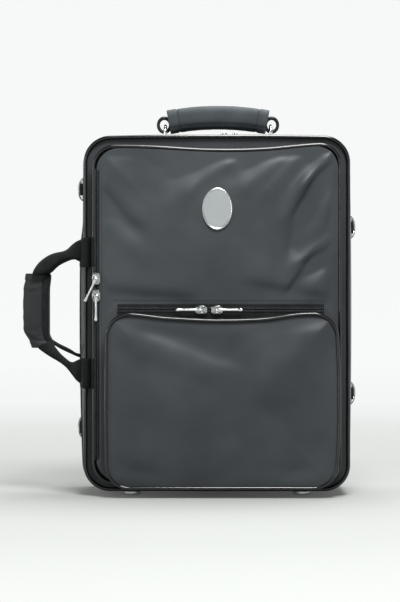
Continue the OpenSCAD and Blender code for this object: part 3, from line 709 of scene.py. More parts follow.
frontSheet = addPanel("musicFront", musicValues["panelBox"], musicValues["panelRadius"],
                      musicValues["panelY"], musicValues["step"])
movePoints(frontSheet, lambda p: (p.x, p.y - frontHeight(p.x, p.z), p.z + musicSag(p.x, p.z)))
applyModifier(frontSheet, "SOLIDIFY", thickness=1.6 * mm, offset=-1)
finishPiece(frontSheet, "music_flap", "satin", ["music_panel"], 60)
print("stage: music pocket")

# accessory pocket

pocketValues = {"box": (-117.0, 126.1, 9.0, 192.5), "radius": 25.0, "y": -58.4, "depth": 11.6, "step": 2.2,
                "crown": 4.6, "crownReach": 55.0}
tray = addPanel("pocketFront", pocketValues["box"], pocketValues["radius"], pocketValues["y"],
                pocketValues["step"])
pullWalls(tray, [pocketValues["depth"] / 5] * 5)


def pocketShape(point):
    x, y, z = point
    v = pocketValues
    left, right, low, high = v["box"]
    edge = min(x - left, right - x, high - z, z - low)
    if y < v["y"] + 0.01:
        cloud = 1.7 * ripple(x * 0.014, z * 0.014, 5.3) + 0.4 * ripple(x * 0.05, z * 0.05, 1.9)
        loose = (foldHeight(pocketFolds, x, z) + cloud) * smooth(4, 22, edge)
        y -= v["crown"] * bulge(edge, v["crownReach"]) + loose
    else:
        x += 0.5 * ripple(x * 0.04, y * 0.2, z * 0.04)
    sag = pocketSag(x, z)
    if sag > 0:
        sag *= smooth(-52.5, -57.5, y)  # the back of its top stays below the zip
    return x + pocketBow(x, z) * smooth(-48, -57, y), y, z + sag


movePoints(tray, pocketShape)
applyModifier(tray, "SOLIDIFY", thickness=1.6 * mm, offset=-1)
finishPiece(tray, "accessory_pocket", "satin", ["pocket_tray"], 50)
print("stage: accessory pocket")


# shapes for straps, grips and metal

def addLoft(name, around, rings, place):  # a closed form whose first and last rings are drawn in to a point
    piece = addSheet(name, around, rings, lambda i, j: place(i % around, j))
    cleanUp(piece, 0.01)
    return piece


def superPoint(angle, wide, high, power):  # a point of a rounded rectangle: 2 is an ellipse, 4 is boxy
    c, s = math.cos(angle), math.sin(angle)
    return math.copysign(abs(c) ** (2 / power), c) * wide, math.copysign(abs(s) ** (2 / power), s) * high


def endScale(j, rings, ends=(0.0, 0.62, 0.88, 0.97)):  # draws the first and last rings in to rounded ends
    nearest = min(j, rings - j)
    return ends[nearest] if nearest < len(ends) else 1.0


def endShare(j, rings, ends=4):  # runs from 0 to 1 over the rings between the two rounded ends
    return clamp((j - ends / 2) / (rings - ends))


def joinPieces(pieces, name):
    leaveEdit()
    for piece in pieces:
        piece.select_set(True)
    bpy.context.view_layer.objects.active = pieces[0]
    bpy.ops.object.join()
    pieces[0].name = name
    return pieces[0]


def resample(points, count):  # the same line in count + 1 evenly spaced points
    spots = [Vector(p) for p in points]
    lengths = [(b - a).length for a, b in zip(spots, spots[1:])]
    total, found = sum(lengths), []
    for k in range(count + 1):
        want = total * k / count
        for a, b, length in zip(spots, spots[1:], lengths):
            if want <= length + 1e-9:
                found.append(a.lerp(b, min(1.0, want / length)))
                break
            want -= length
        else:
            found.append(spots[-1])
    return found


def softLine(points, rounds=2):  # cuts the corners of a line, so that it bends softly
    spots = [Vector(p) for p in points]
    for _ in range(rounds):
        cut = [spots[0]]
        for a, b in zip(spots, spots[1:]):
            cut += [a.lerp(b, 0.25), a.lerp(b, 0.75)]
        spots = cut + [spots[-1]]
    return spots


def addStrap(name, path, z0, z1, thick, swell=False):  # webbing on a path in X and Y, from z0 up to z1
    up = max(2, round((z1 - z0) / 4))

    def place(i, j):
        x, y = path[i][0], path[i][1]
        z = z0 + (z1 - z0) * j / up
        return x + (swellOut(x, y, z) if swell else 0), y, z
    piece = addSheet(name, len(path) - 1, up, place)
    applyModifier(piece, "SOLIDIFY", thickness=thick * mm, offset=0)
    applyModifier(piece, "BEVEL", width=0.35 * mm, segments=2, limit_method="ANGLE")
    return piece


def addBand(outer, inner, y, halfDeep, rings=30, around=20, power=3.4):  # a strap seen edge on in front
    outerLine = resample(softLine([(x, 0, z) for x, z in outer]), rings)
    innerLine = resample(softLine([(x, 0, z) for x, z in inner]), rings)

    def place(i, j):
        share = endShare(j, rings) * rings
        low = min(rings - 1, int(share))
        a = outerLine[low].lerp(outerLine[low + 1], share - low)
        b = innerLine[low].lerp(innerLine[low + 1], share - low)
        centre, half = (a + b) / 2, (a - b) / 2
        high, deep = superPoint(2 * math.pi * i / around, 1.0, halfDeep, power)
        crease = 1 - 0.10 * math.exp(-(deep / (halfDeep * 0.35)) ** 2)
        scale = endScale(j, rings)
        spot = centre + half * high * scale * crease
        return spot.x, y + deep * scale, spot.z
    return addLoft("arm", around, rings, place)


# oval plate: pressed sheet metal with a rolled rim, left bare

plateProfile = [(0.0, 1.35), (0.3, 1.32), (0.6, 1.2), (0.8, 1.02), (0.86, 0.92), (0.885, 0.98),
                (0.905, 1.35), (0.935, 1.62), (0.965, 1.5), (0.99, 1.05), (1.0, 0.5), (1.0, -0.8),
                (0.9, -1.2), (0.0, -1.2)]  # share of the radius, height


def platePoint(i, j):
    share, height = plateProfile[j]
    angle = 2 * math.pi * i / 96
    up = plateValues["halfHigh"] * share * math.sin(angle)
    return (plateValues["x"] + plateValues["halfWide"] * share * math.cos(angle),
            plateValues["seat"] - height + up * plateValues["lean"], plateValues["z"] + up)


ovalPlate = addLoft("ovalPlate", 96, len(plateProfile) - 1, platePoint)
finishPiece(ovalPlate, "music_flap", "brushed", ["oval_plate"], 30)
print("stage: oval plate")

# top grip and its loops

gripValues = {"x": 1.5, "y": 31.0, "arcRadius": 294.1, "arcCentre": 113.7, "halfAngle": 10.58,
              "halfDeep": 12.8, "halfHigh": 12.9, "halfLong": 54, "power": 3.4, "cuffFrom": 43.2,
              "rings": 96, "around": 48}


def gripPoint(i, j):
    v = gripValues
    share = 2 * endShare(j, v["rings"], 6) - 1
    scale = endScale(j, v["rings"], (0.0, 0.7, 0.9, 0.965))
    turn = 2 * math.pi * i / v["around"]
    deep, high = superPoint(turn, v["halfDeep"], v["halfHigh"], v["power"])
    lip = smooth(-0.50, -0.42, high / v["halfHigh"])  # the upper wrap ends in a lip over the underside
    deep *= 0.90 + 0.10 * lip
    high *= 1 if high > 0 else 0.965 + 0.035 * lip
    run = abs(share) * v["halfLong"]
    groove = math.exp(-((run - v["cuffFrom"]) / 0.8) ** 2)
    body = scale * (1 - 0.06 * groove + 0.025 * smooth(v["cuffFrom"], v["cuffFrom"] + 2, run))
    wrinkle = 0.35 * ripple(run * 0.12 * math.copysign(1, share), deep * 0.07, high * 0.12)
    reach = v["arcRadius"] + (high + math.copysign(wrinkle, high)) * body
    angle = math.radians(v["halfAngle"]) * share
    return v["x"] + reach * math.sin(angle), v["y"] + deep * body, v["arcCentre"] + reach * math.cos(angle)


topGrip = addLoft("topGrip", gripValues["around"], gripValues["rings"], gripPoint)
finishPiece(topGrip, "top_handle", "grip", ["top_grip"], 60)


def gripSpot(run, deep, high):  # a place on the grip: along it, behind and above its middle
    angle = run / gripValues["arcRadius"]
    reach = gripValues["arcRadius"] + high
    return Vector((gripValues["x"] + reach * math.sin(angle), gripValues["y"] + deep,
                   gripValues["arcCentre"] + reach * math.cos(angle)))


for side, name in ((-1, "gripStitchesFront"), (1, "gripStitchesBack")):
    line = [gripSpot(run, side * 11.3, -7.2) for run in range(-44, 45, 4)]
    addStitches(name, line, (0, side, -0.25), "top_handle", 3.6)

loopValues = {"fromMiddle": 58.7, "y": 31.0, "z": 400.0, "radius": 5.9, "wire": 1.6, "halfWide": 4.0,
              "longer": 1.12, "taller": 1.28}


def loopBand(side):  # a strap that comes out of the grip, round the post and back in
    leaveEdit()
    v = loopValues
    bpy.ops.mesh.primitive_torus_add(major_segments=48, minor_segments=12, major_radius=v["radius"] * mm,
                                     minor_radius=v["wire"] * mm, rotation=(math.pi / 2, 0, 0))
    band = bpy.context.object
    applyPlace(band)
    middle = gripValues["x"] + side * v["fromMiddle"]

    def shape(p):
        wide = math.copysign((abs(p.y) / v["wire"]) ** 0.7, p.y) * v["halfWide"]
        return p.x * v["longer"] + middle, wide + v["y"], p.z * v["taller"] + v["z"]
    movePoints(band, shape)
    return band


loops = joinPieces([loopBand(-1), loopBand(1)], "gripLoops")
pick(loops, "FACE", lambda f: True)
bpy.ops.mesh.normals_make_consistent(inside=False)
finishPiece(loops, "top_handle", "loop", ["top_loops"], 50)
print("stage: top handle")

# side handle: two halves that part at the seam

sideValues = {"x0": -208.0, "x1": -182.0, "z": 197.0, "halfLong": 40.0, "deep": 12.6, "gap": 0.25,
              "power": 2.8, "wrapShare": 0.72}
coreValues = {"x": -185.4, "y": 6.3, "halfWide": 4.6, "halfDeep": 5.7, "halfLong": 38.5}


def sideGripPoint(facing, i, j, around=40, rings=64):
    v = sideValues
    share = 2 * endShare(j, rings, 6) - 1
    scale = endScale(j, rings, (0.0, 0.7, 0.9, 0.97))
    wrapped = around * v["wrapShare"]  # the rest of each ring is the flat side at the seam
    if i < wrapped:
        x, deep = superPoint(math.pi * i / wrapped, 1.0, v["deep"], v["power"])
    else:
        x, deep = -1 + 2 * (i - wrapped) / (around - wrapped), 0.0
    run = abs(share)
    cuff = 1 + 0.05 * smooth(0.80, 0.84, run) - 0.05 * math.exp(-((run - 0.81) / 0.018) ** 2)
    half = (v["x1"] - v["x0"]) / 2
    wrinkle = 0.5 * ripple(x * 2.0, share * 5.0, 0.3 * facing) * smooth(0, 3, deep)
    bend = 2.2 * smooth(0.55, 1.0, share) + 7.0 * smooth(0.45, 1.0, -share) - 0.8 * (1 - run * run)
    pucker = 1.1 * ripple(x * 1.3, share * 9.0, 5.0) * smooth(0.3, 0.75, run) * smooth(1, 6, deep)
    narrow = 1 - 0.12 * smooth(0.55, 1.0, -share)
    centre = (v["x0"] + v["x1"]) / 2
    return (centre + bend + x * (half * cuff * narrow + wrinkle) * scale,
            facing * (v["gap"] + (deep * cuff + pucker) * scale), v["z"] + v["halfLong"] * share)


def corePoint(facing, i, j, around=24, rings=48):  # the ribbed webbing that the leather is wrapped over
    share = 2 * endShare(j, rings, 6) - 1
    scale = endScale(j, rings, (0.0, 0.8, 0.95, 0.99))
    v = coreValues
    x, deep = superPoint(2 * math.pi * i / around, v["halfWide"], v["halfDeep"], 4.0)
    rib = 1 + 0.05 * math.sin(deep * 2.4)
    bend = 1.5 * smooth(0.55, 1.0, share) + 5.5 * smooth(0.62, 1.0, -share)
    return (v["x"] + bend + x * scale * rib, facing * (v["y"] + deep * scale),
            sideValues["z"] + v["halfLong"] * share)


armValues = {"y": 12.0, "halfDeep": 7.9}
armOutlines = {  # outer and inner line of each strap, as X and Z
    "upper": ([(-199.5, 235.5), (-193.6, 246.8), (-185.4, 253.9), (-175.9, 259.2), (-161.8, 261.2),
               (-155.9, 268.0), (-148.8, 273.3), (-140.5, 274.9)],
              [(-179.5, 237.5), (-172.4, 245.0), (-165.3, 248.9), (-154.7, 253.3), (-147.6, 249.2),
               (-141.5, 247.7)]),
    "lowerFront": ([(-193.5, 157.5), (-180.7, 148.3), (-167.7, 141.2), (-160.6, 135.3), (-154.7, 127.1),
                    (-150.0, 120.6), (-140.7, 114.8)],
                   [(-178.5, 165.2), (-168.9, 151.8), (-163.0, 146.5), (-155.9, 140.6), (-148.8, 145.3),
                    (-141.1, 147.1)]),
    "lowerBack": ([(-180.9, 167.4), (-172.4, 161.6), (-158.2, 155.0), (-152.9, 150.6), (-142.5, 149.6)],
                  [(-178.4, 161.0), (-168.9, 155.0), (-158.2, 150.1), (-148.8, 145.9), (-142.5, 145.4)]),
}
for facing, label in ((-1, "Front"), (1, "Back")):
    shell, handle = label.lower() + "_shell", "side_handle_" + label.lower()
    grip = addLoft("sideGrip" + label, 40, 64, lambda i, j: sideGripPoint(facing, i, j))
    finishPiece(grip, handle, "sideGrip", ["side_grip_" + label.lower()], 55)
    core = addLoft("sideGripCore" + label, 24, 48, lambda i, j: corePoint(facing, i, j))
    finishPiece(core, handle, "webbing", (), 50)
    arms = [addBand(*outlines, facing * armValues["y"], armValues["halfDeep"])
            for outlines in (armOutlines["upper"], armOutlines["lower" + label])]
    straps = joinPieces(arms, "sideStraps" + label)
    applyPlace(straps)
    bpy.ops.object.shade_smooth_by_angle(angle=math.radians(50))
    straps.data.materials.append(finishes["webbing"])
    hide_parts("side_straps_" + label.lower())
    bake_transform(straps)
leaveEdit()
print("stage: side handle")

# webbing patches and ring tabs, sewn on

frontWrap = softLine([(-142.9, -9.7), (-142.9, -27.0), (-142.9, -32.0), (-141.6, -35.0), (-139.0, -35.3),
                      (-136.8, -34.0), (-135.6, -31.6), (-133.4, -31.0), (-132.4, -31.6), (-132.2, -33.5),
                      (-132.3, -42.6)], 2)
backWrap = resample([(-142.9, 9.9), (-142.9, 27.1)], 5)
patchRanges = {  # foot, top in front and top behind
    "Upper": (243.6, 274.7, 274.7), "Lower": (114.5, 146.2, 152.6)}
sideThread = 1.75


def sidePoint(y, z, out=sideThread, side=-1):
    return Vector((side * (caseHalf + out + sideSwell(side * caseHalf, y, z)), y, z))


def stitchFrame(name, body, side, y0, y1, z0, z1, out=sideThread):  # a sewn rectangle on the case's side
    corners = [(y0, z0), (y1, z0), (y1, z1), (y0, z1)]
    line = []
    for (ya, za), (yb, zb) in zip(corners, corners[1:] + corners[:1]):
        line += [sidePoint(ya + (yb - ya) * k / 6, za + (zb - za) * k / 6, out, side) for k in range(6)]
    addStitches(name, line, (side, 0, 0), body, 2.9, True)


def aroundPiping(angle):  # a point of the thin fold over the music pocket's piping
    values, reach = pipingValues["musicPiping"], 1.88
    return (values["box"][0] + reach * math.cos(math.radians(angle)),
            values["y"] + reach * math.sin(math.radians(angle)))


pipingWrap = [aroundPiping(angle) for angle in range(150, 331, 15)]
for label, (foot, frontTop, backTop) in patchRanges.items():
    front = joinPieces([addStrap("patch", frontWrap, foot, frontTop, 1.6, True),
                        addStrap("fold", pipingWrap, foot, frontTop, 0.22)], "patch" + label + "Front")
    back = addStrap("patch" + label + "Back", backWrap, foot, backTop, 1.6, True)
    for patch, which, y0, y1, top in ((front, "front", -11.4, -27.0, frontTop),
                                      (back, "back", 11.4, 25.6, backTop)):
        body = which + "_shell"
        finishPiece(patch, body, "patch", ["webbing_patches_" + which], 40)
        stitchFrame("patchThread" + label + which.title(), body, -1, y0, y1, foot + 2.2, top - 2.2)

tabValues = {  # side, height of the ring, foot and top of the tab
    "UpperLeft": (-1, 329.4, 317.4, 341.4), "LowerLeft": (-1, 69.3, 57.3, 81.3),
    "UpperRight": (1, 288.0, 279.0, 335.0), "LowerRight": (1, 106.6, 54.6, 115.6),
}
ringFold = {"x": 146.5, "y": 30.0, "radius": 2.75, "halfHigh": 6.4}  # the tab's fold round a ring


def foldPoint(angle):
    turn, v = math.radians(angle), ringFold
    return v["x"] - v["radius"] * math.cos(turn), v["y"] - v["radius"] * math.sin(turn)


foldLine = softLine([(144.1, 21.5), (144.2, 25.2)] + [foldPoint(angle) for angle in range(58, 303, 16)] + [
    (144.2, 34.8), (144.1, 38.5)], 1)
tabs = []
for label, (side, ringZ, foot, top) in tabValues.items():
    tabs.append(addStrap("tab", [(side * 142.75, y) for y in (19, 24.5, 30, 35.5, 41)], foot, top, 1.4))
    tabs.append(addStrap("tab", [(side * p[0], p[1]) for p in foldLine], ringZ - ringFold["halfHigh"],
                         ringZ + ringFold["halfHigh"], 1.15))
    stitchFrame("tabThread" + label, "back_shell", side, 20.8, 39.2, foot + 1.8, top - 1.8, 1.55)
finishPiece(joinPieces(tabs, "ringTabs"), "back_shell", "webbing", ["ring_tabs"], 40)
print("stage: patches and tabs")

# zips: tape, then one winding of the coil copied along it

zipValues = {"pitch": 1.7, "tapeMiddle": 0.5, "tapeThick": 0.9, "tapeFrom": 0.25, "tapeWide": 8.9,
             "coilMiddle": 1.55, "coilAway": 1.35, "threadAway": 7.9, "threadOut": 1.0}
toFront = (0, -1, 0)


def addCoil(name, points, normals, body):
    finishPiece(addBeads(name, "winding", points, normals, zipValues["pitch"]), body, "coil", (), 60)


def addTape(name, across, up, place, body, nodes):
    piece = addSheet(name, across, up, place)
    applyModifier(piece, "SOLIDIFY", thickness=zipValues["tapeThick"] * mm, offset=0)
    return finishPiece(piece, body, "tape", nodes, 40)


seamEnd = 114.0  # in X, above and below: the zip stops short of the corners beside the hinge
seamLine = [p for p in outline(caseBox, shellValues["radius"], 3.0) if p[0] <= seamEnd + 0.01]


def seamSpot(number, y, out):
    x, z, dx, dz = seamLine[number]
    return swellSides((x + dx * out, y, z + dz * out))


def seamNormal(place):
    radius = shellValues["radius"]
    cx = max(-seamEnd, min(seamEnd, place.x))
    cz = max(caseFoot + radius, min(caseTop - radius, place.z))
    far = Vector((place.x - cx, 0, place.z - cz))
    return far if far.length > 0.1 else Vector((0, 0, 1))


for facing, label in ((-1, "Front"), (1, "Back")):
    v, count, body = zipValues, len(seamLine), label.lower() + "_shell"
    addTape("seamTape" + label, count - 1, 4,
            lambda i, j: seamSpot(i, facing * (v["tapeFrom"] + v["tapeWide"] * j / 4), v["tapeMiddle"]),
            body, ["seam_zip_" + label.lower()])
    coilLine = [seamSpot(i, facing * v["coilAway"], v["coilMiddle"]) for i in range(count)]
    addCoil("seamCoil" + label, coilLine, seamNormal, body)
    threadLine = [seamSpot(i, facing * v["threadAway"], v["threadOut"]) for i in range(count)]
    addStitches("seamThread" + label, threadLine, seamNormal, body)

musicZip = {"z0": 39.6, "z1": 346.4, "tapeX": -127.3, "tapeWide": 3.4, "tapeY": -44.45,
            "coilY": -45.55, "coilTop": 346.2, "threadX": -121.8, "threadOut": 0.2}
pocketZip = {"x0": -105.0, "x1": 113.1, "z": 198.0, "base": -46.2, "coilY": -47.78, "threadZ": 208.4,
             "lowerY": -46.95, "lowerFoot": 191.6, "lowerTop": 197.8}
pocketSteps = 60
upperHeights = (0.2, 2.2, 4.2, 6.0)


def onMusicFront(x, z):
    return x, musicValues["panelY"] - musicZip["threadOut"] - frontHeight(x, z), z


def musicTapePoint(i, j):
    v = musicZip
    return v["tapeX"] + v["tapeWide"] * i / 4, v["tapeY"], v["z0"] + (v["z1"] - v["z0"]) * j / 80


fixedPath = softLine([(-129.5, -41.4), (-129.3, -44.0), (-128.8, -44.6), (-127.9, -44.7)], 1)
fixedTape = addStrap("musicTapeFixed", fixedPath, musicZip["z0"], musicZip["z1"], 0.8)
finishPiece(fixedTape, "front_shell", "tape", ["music_zip_fixed"], 40)
addTape("musicTapeFlap", 4, 80, musicTapePoint, "music_flap", ["music_zip_panel"])
for label, body, x, foot in (("Fixed", "front_shell", -128.9, 40.2), ("Flap", "music_flap", -126.2, 41.0)):
    coilLine = [(x, musicZip["coilY"], z) for z in (foot, musicZip["coilTop"])]
    addCoil("musicCoil" + label, coilLine, toFront, body)
addStitches("musicThread", [onMusicFront(musicZip["threadX"], z) for z in range(42, 346, 8)], toFront,
            "music_flap")


def upperTapePoint(i, j):
    x = pocketZip["x0"] + (pocketZip["x1"] - pocketZip["x0"]) * i / pocketSteps
    return x, pocketZip["base"] - zipValues["tapeMiddle"], pocketZip["z"] + upperHeights[j]


def lowerTapePoint(i, j):  # its lower edge follows the tray's top and drops at both ends
    v = pocketZip
    x = v["x0"] + (v["x1"] - v["x0"]) * i / pocketSteps
    ends = 1 - smooth(-107, -94, x) + smooth(101, 114, x)
    low = v["lowerFoot"] + min(0.0, pocketSag(x, pocketValues["box"][3])) - 4 * ends
    return x, v["lowerY"] - 0.12 * math.sin(math.pi * j / 4), low + (v["lowerTop"] - low) * j / 4


addTape("pocketTapeUpper", pocketSteps, 3, upperTapePoint, "music_flap", ["pocket_zip_upper"])
addTape("pocketTapeLower", pocketSteps, 4, lowerTapePoint, "accessory_pocket", ["pocket_zip_lower"])
for label, body, z in (("Upper", "music_flap", 199.45), ("Lower", "accessory_pocket", 196.55)):
    ends = (pocketZip["x0"] + 0.5, pocketZip["x1"] - 0.5)
    addCoil("pocketCoil" + label, [(x, pocketZip["coilY"], z) for x in ends], toFront, body)
addStitches("pocketThread", [onMusicFront(x, pocketZip["threadZ"]) for x in range(-108, 118, 6)], toFront,
            "music_flap")
print("stage: zips")

# sliders and pulls: die-cast zinc

sliderValues = {"long": 12.0, "wide": 8.8, "plateLow": 2.5, "plateThick": 1.2, "taper": 0.34, "dome": 0.35,
                "flange": (8.4, 1.0, 1.4), "flangeAway": 3.75, "flangeLow": 0.45, "barHeight": 5.9,
                "barHalf": 3.1, "barRadius": 0.72, "archHalf": 3.4, "archAway": 2.85, "archLow": 0.9,
                "archHigh": 3.5, "archWire": 0.6, "foot": (5.4, 1.1, 1.6), "footLow": 1.6}
pullValues = {"eyeRadius": 1.5, "eyeWire": 0.4, "eyeStretch": 4.75, "halfThick": 0.62, "tipThicker": 0.16,
              "rings": 40, "around": 16}


def addBlock(size, middle, bevel):
    leaveEdit()
    bpy.ops.mesh.primitive_cube_add(size=1)
    block = bpy.context.object
    block.scale = Vector(size) * mm
    block.location = Vector(middle) * mm
    applyPlace(block)
    pick(block, "FACE", lambda f: True)
    bpy.ops.mesh.subdivide(number_cuts=5)
    leaveEdit()
    if bevel:
        applyModifier(block, "BEVEL", width=bevel * mm, segments=2, limit_method="ANGLE")
    return block


def sliderPattern(hold, turn):  # the flange hides the teeth on one side; the head turns with the pull
    v = sliderValues
    middle = v["plateLow"] + v["plateThick"] / 2
    body = addBlock((v["long"], v["wide"], v["plateThick"]), (0, 0, middle), 0.32)

    def shape(p):
        dome = v["dome"] * (1 - (2 * p.y / v["wide"]) ** 2) * (1 - (2 * p.x / v["long"]) ** 2)
        return p.x, p.y * (1 - v["taper"] * smooth(1.5, 6, abs(p.x))), p.z + (dome if p.z > middle else 0)
    movePoints(body, shape)
    flange = addBlock(v["flange"], (0, hold * v["flangeAway"], v["plateLow"] - v["flangeLow"]), 0.25)
    head = []
    for side in (-1, 1):
        arch = []
        for angle in range(0, 181, 12):
            up = v["archHigh"] * math.sin(math.radians(angle))
            arch.append((v["archHalf"] * math.cos(math.radians(angle)), side * v["archAway"],
                         v["plateLow"] + v["archLow"] + up))
        head.append(addTube("arch", arch, v["archWire"], sides=8))
        head.append(addBlock(v["foot"], (0, side * v["archAway"], v["plateLow"] + v["footLow"]), 0.3))
    bar = [(0, side * v["barHalf"], v["barHeight"]) for side in (-1, 1)]
    head.append(addTube("bar", bar, v["barRadius"]))
    for piece in head:
        piece.data.transform(Matrix.Rotation(math.radians(turn), 4, "Z"))
    return joinPieces([body, flange] + head, "sliderPattern")


def pullPattern(length):  # an eye round the slider's bar and a long flat shaft with a sunk slot
    leaveEdit()
    v, rings, around = pullValues, pullValues["rings"], pullValues["around"]
    bpy.ops.mesh.primitive_torus_add(major_segments=24, minor_segments=10, major_radius=v["eyeRadius"] * mm,
                                     minor_radius=v["eyeWire"] * mm, rotation=(math.pi / 2, 0, 0))
    eye = bpy.context.object
    applyPlace(eye)
    movePoints(eye, lambda p: (p.x, p.y * v["eyeStretch"], p.z))
    widths = [  # place along the shaft and half width there
        (1.45, 1.85), (2.8, 1.75), (4.4, 1.15), (length - 6.4, 1.0), (length - 4.2, 1.2),
        (length - 2.4, 1.6), (length - 1.1, 1.55), (length - 0.2, 0.9)]

    def wide(x):
        for (xa, wa), (xb, wb) in zip(widths, widths[1:]):
            if x <= xb:
                return wa + (wb - wa) * smooth(xa, xb, x)
        return widths[-1][1]

    def place(i, j):
        x = widths[0][0] + (widths[-1][0] - widths[0][0]) * endShare(j, rings, 2)
        scale = endScale(j, rings, (0.0, 1.0))
        thick = v["halfThick"] + v["tipThicker"] * smooth(length - 5, length - 2, x)
        side, high = superPoint(2 * math.pi * i / around, wide(x), thick, 3.4)
        slot = smooth(4.6, 5.6, x) * (1 - smooth(length - 6.6, length - 5.6, x))
        slot *= 1 - smooth(0.3, 0.62, abs(side))
        end = 0.2 * (1 - scale) * (1 if j > rings / 2 else -1)
        return x + end, side * scale, high * scale * (1 - 0.45 * slot)
    return joinPieces([eye, addLoft("shaft", around, rings, place)], "pullPattern")


def seamPlace(x):
    return Matrix.Translation(Vector((x, 0, caseTop)) * mm)


def musicPlace(z):
    upright = Matrix.Translation(Vector((-127.6, -44, z)) * mm) @ Matrix.Rotation(math.pi / 2, 4, "X")
    return upright @ Matrix.Rotation(math.pi / 2, 4, "Z")


def pocketPlace(x):
    base = Vector((x, pocketZip["base"], pocketZip["z"])) * mm
    return Matrix.Translation(base) @ Matrix.Rotation(math.pi / 2, 4, "X")


zipPulls = {  # place, flange side, turn of the pull, its length and its droop
    "seam left": (seamPlace(7.8), 1, 90, 13, 15), "seam right": (seamPlace(20.2), 1, 90, 13, 15),
    "music upper": (musicPlace(231), -1, 154, 27, 0), "music lower": (musicPlace(213), -1, 180, 27, 0),
    "pocket left": (pocketPlace(-16.3), -1, 180, 27, 0), "pocket right": (pocketPlace(0.2), -1, 0, 27, 0),
}
for label, (place, hold, turn, length, droop) in zipPulls.items():
    where, which = label.split()
    pattern = sliderPattern(hold, turn)
    slider = copyTo(where + "Slider" + which.title(), pattern, [place])
    dropPiece(pattern)
    sliderNode = where + "_slider_" + which
    finishPiece(slider, sliderNode + "_body", "nickel", [sliderNode], 50)
    pattern = pullPattern(length)
    swing = (Matrix.Rotation(math.radians(turn), 4, "Z") @ Matrix.Translation(
        (0, 0, sliderValues["barHeight"] * mm)) @ Matrix.Rotation(math.radians(droop), 4, "Y"))
    pull = copyTo(where + "Pull" + which.title(), pattern, [place @ swing])
    dropPiece(pattern)
    pullNode = where + "_pull_" + which
    finishPiece(pull, pullNode + "_body", "chrome", [pullNode], 50)
print("stage: sliders and pulls")

# velvet inside

velvetValues = {"liningY": 71.5, "liningRim": 1.4, "floorY": 63.5, "dividerThick": 7.0, "lidY": -18.6}
liningBox = (-134.5, 134.5, 12.5, 375.5)
floorBox = (-134.0, 134.0, 13.0, 375.0)
lidBox = (-135.0, 135.0, 12.0, 376.0)


def finishVelvet(piece, node, angle, body="back_shell"):
    finishPiece(piece, body, "velvet", [node], angle)


tub = addPanel("backLining", liningBox, 20.5, velvetValues["liningY"], 8.0)
pullWalls(tub, [(velvetValues["liningRim"] - velvetValues["liningY"]) / 8] * 8)
applyModifier(tub, "SOLIDIFY", thickness=0.9 * mm, offset=-1)
finishVelvet(tub, "back_lining", 50)


def padShape(box, y, crown, facing):  # a crowned pad: its rim drops away and its middle stands out
    def shape(p):
        if abs(p.y - y) > 0.01:
            return p
        edge = min(p.x - box[0], box[1] - p.x, p.z - box[2], box[3] - p.z)
        drop = 1.6 * (1 - math.sqrt(1 - (1 - clamp(edge / 5)) ** 2))
        wave = 0.5 * ripple(p.x * 0.02, p.z * 0.02, facing) * smooth(0, 20, edge)
        return p.x, p.y + facing * (crown * smooth(0, 60, edge) - drop + wave), p.z
    return shape


floorPad = addPanel("wellFloor", floorBox, 20.0, velvetValues["floorY"], 4.0)
movePoints(floorPad, padShape(floorBox, velvetValues["floorY"], 0.4, -1))
pullWalls(floorPad, [3.5, 4.0])
applyModifier(floorPad, "SOLIDIFY", thickness=0.8 * mm, offset=-1)
finishVelvet(floorPad, "well_floor", 50)

railLine = outline(liningBox, 20.5, 4.0)
railProfile = [(0.2, 63.4), (0.2, 36.0), (0.2, 13.0), (0.9, 11.0), (2.4, 10.1), (4.2, 9.9), (6.0, 10.2),
               (7.4, 11.3), (8.0, 13.2), (8.0, 36.0), (8.0, 63.4), (4.0, 63.4)]  # inward from the wall, Y


def railPoint(i, j):
    x, z, dx, dz = railLine[i]
    inward, y = railProfile[j]
    wave = 0.25 * ripple(x * 0.03, y * 0.05, z * 0.03)
    return x - dx * (inward + wave), y, z - dz * (inward + wave)


rails = addSheet("wellRails", len(railLine), len(railProfile),
                 lambda i, j: railPoint(i % len(railLine), j % len(railProfile)))
cleanUp(rails, 0.01)
finishVelvet(rails, "well_rails", 60)

dividerProfile = [(-1, 63.4), (-1, 40), (-1, 14), (-0.92, 11.9), (-0.7, 10.6), (-0.35, 10.0), (0, 9.9),
                  (0.35, 10.0), (0.7, 10.6), (0.92, 11.9), (1, 14), (1, 40), (1, 63.4), (0, 63.4)]


def addDivider(name, start, end):  # a padded bar between two wells, rounded along its rim
    a, b = Vector((start[0], 0, start[1])), Vector((end[0], 0, end[1]))
    run = (b - a).normalized()
    across = Vector((-run.z, 0, run.x))
    half = velvetValues["dividerThick"] / 2
    rings = max(8, round((b - a).length / 6))

    def place(i, j):
        share = endShare(j, rings, 2)
        side, y = dividerProfile[i]
        spot = a.lerp(b, share)
        inside = 0 if j in (0, rings) else 1
        wave = 0.2 * ripple(spot.x * 0.05, y * 0.06, spot.z * 0.05)
        side, y = side * inside, 40 + (y - 40) * inside
        return spot.x + across.x * (half * side + wave), y, spot.z + across.z * (half * side + wave)
    return addLoft(name, len(dividerProfile), rings, place)


jointBars = [addDivider("bar", (x, 20.6), (x, 276.8)) for x in (-65.0, 0.0, 65.0)]
finishVelvet(joinPieces(jointBars, "jointDividers"), "joint_dividers", 60)
bellBars = [addDivider("bar", (-126.4, 280.0), (126.4, 280.0))]
bellBars += [addDivider("bar", (x, 283.2), (x, 367.4)) for x in (-19.0, 19.0)]
finishVelvet(joinPieces(bellBars, "bellDividers"), "bell_dividers", 60)

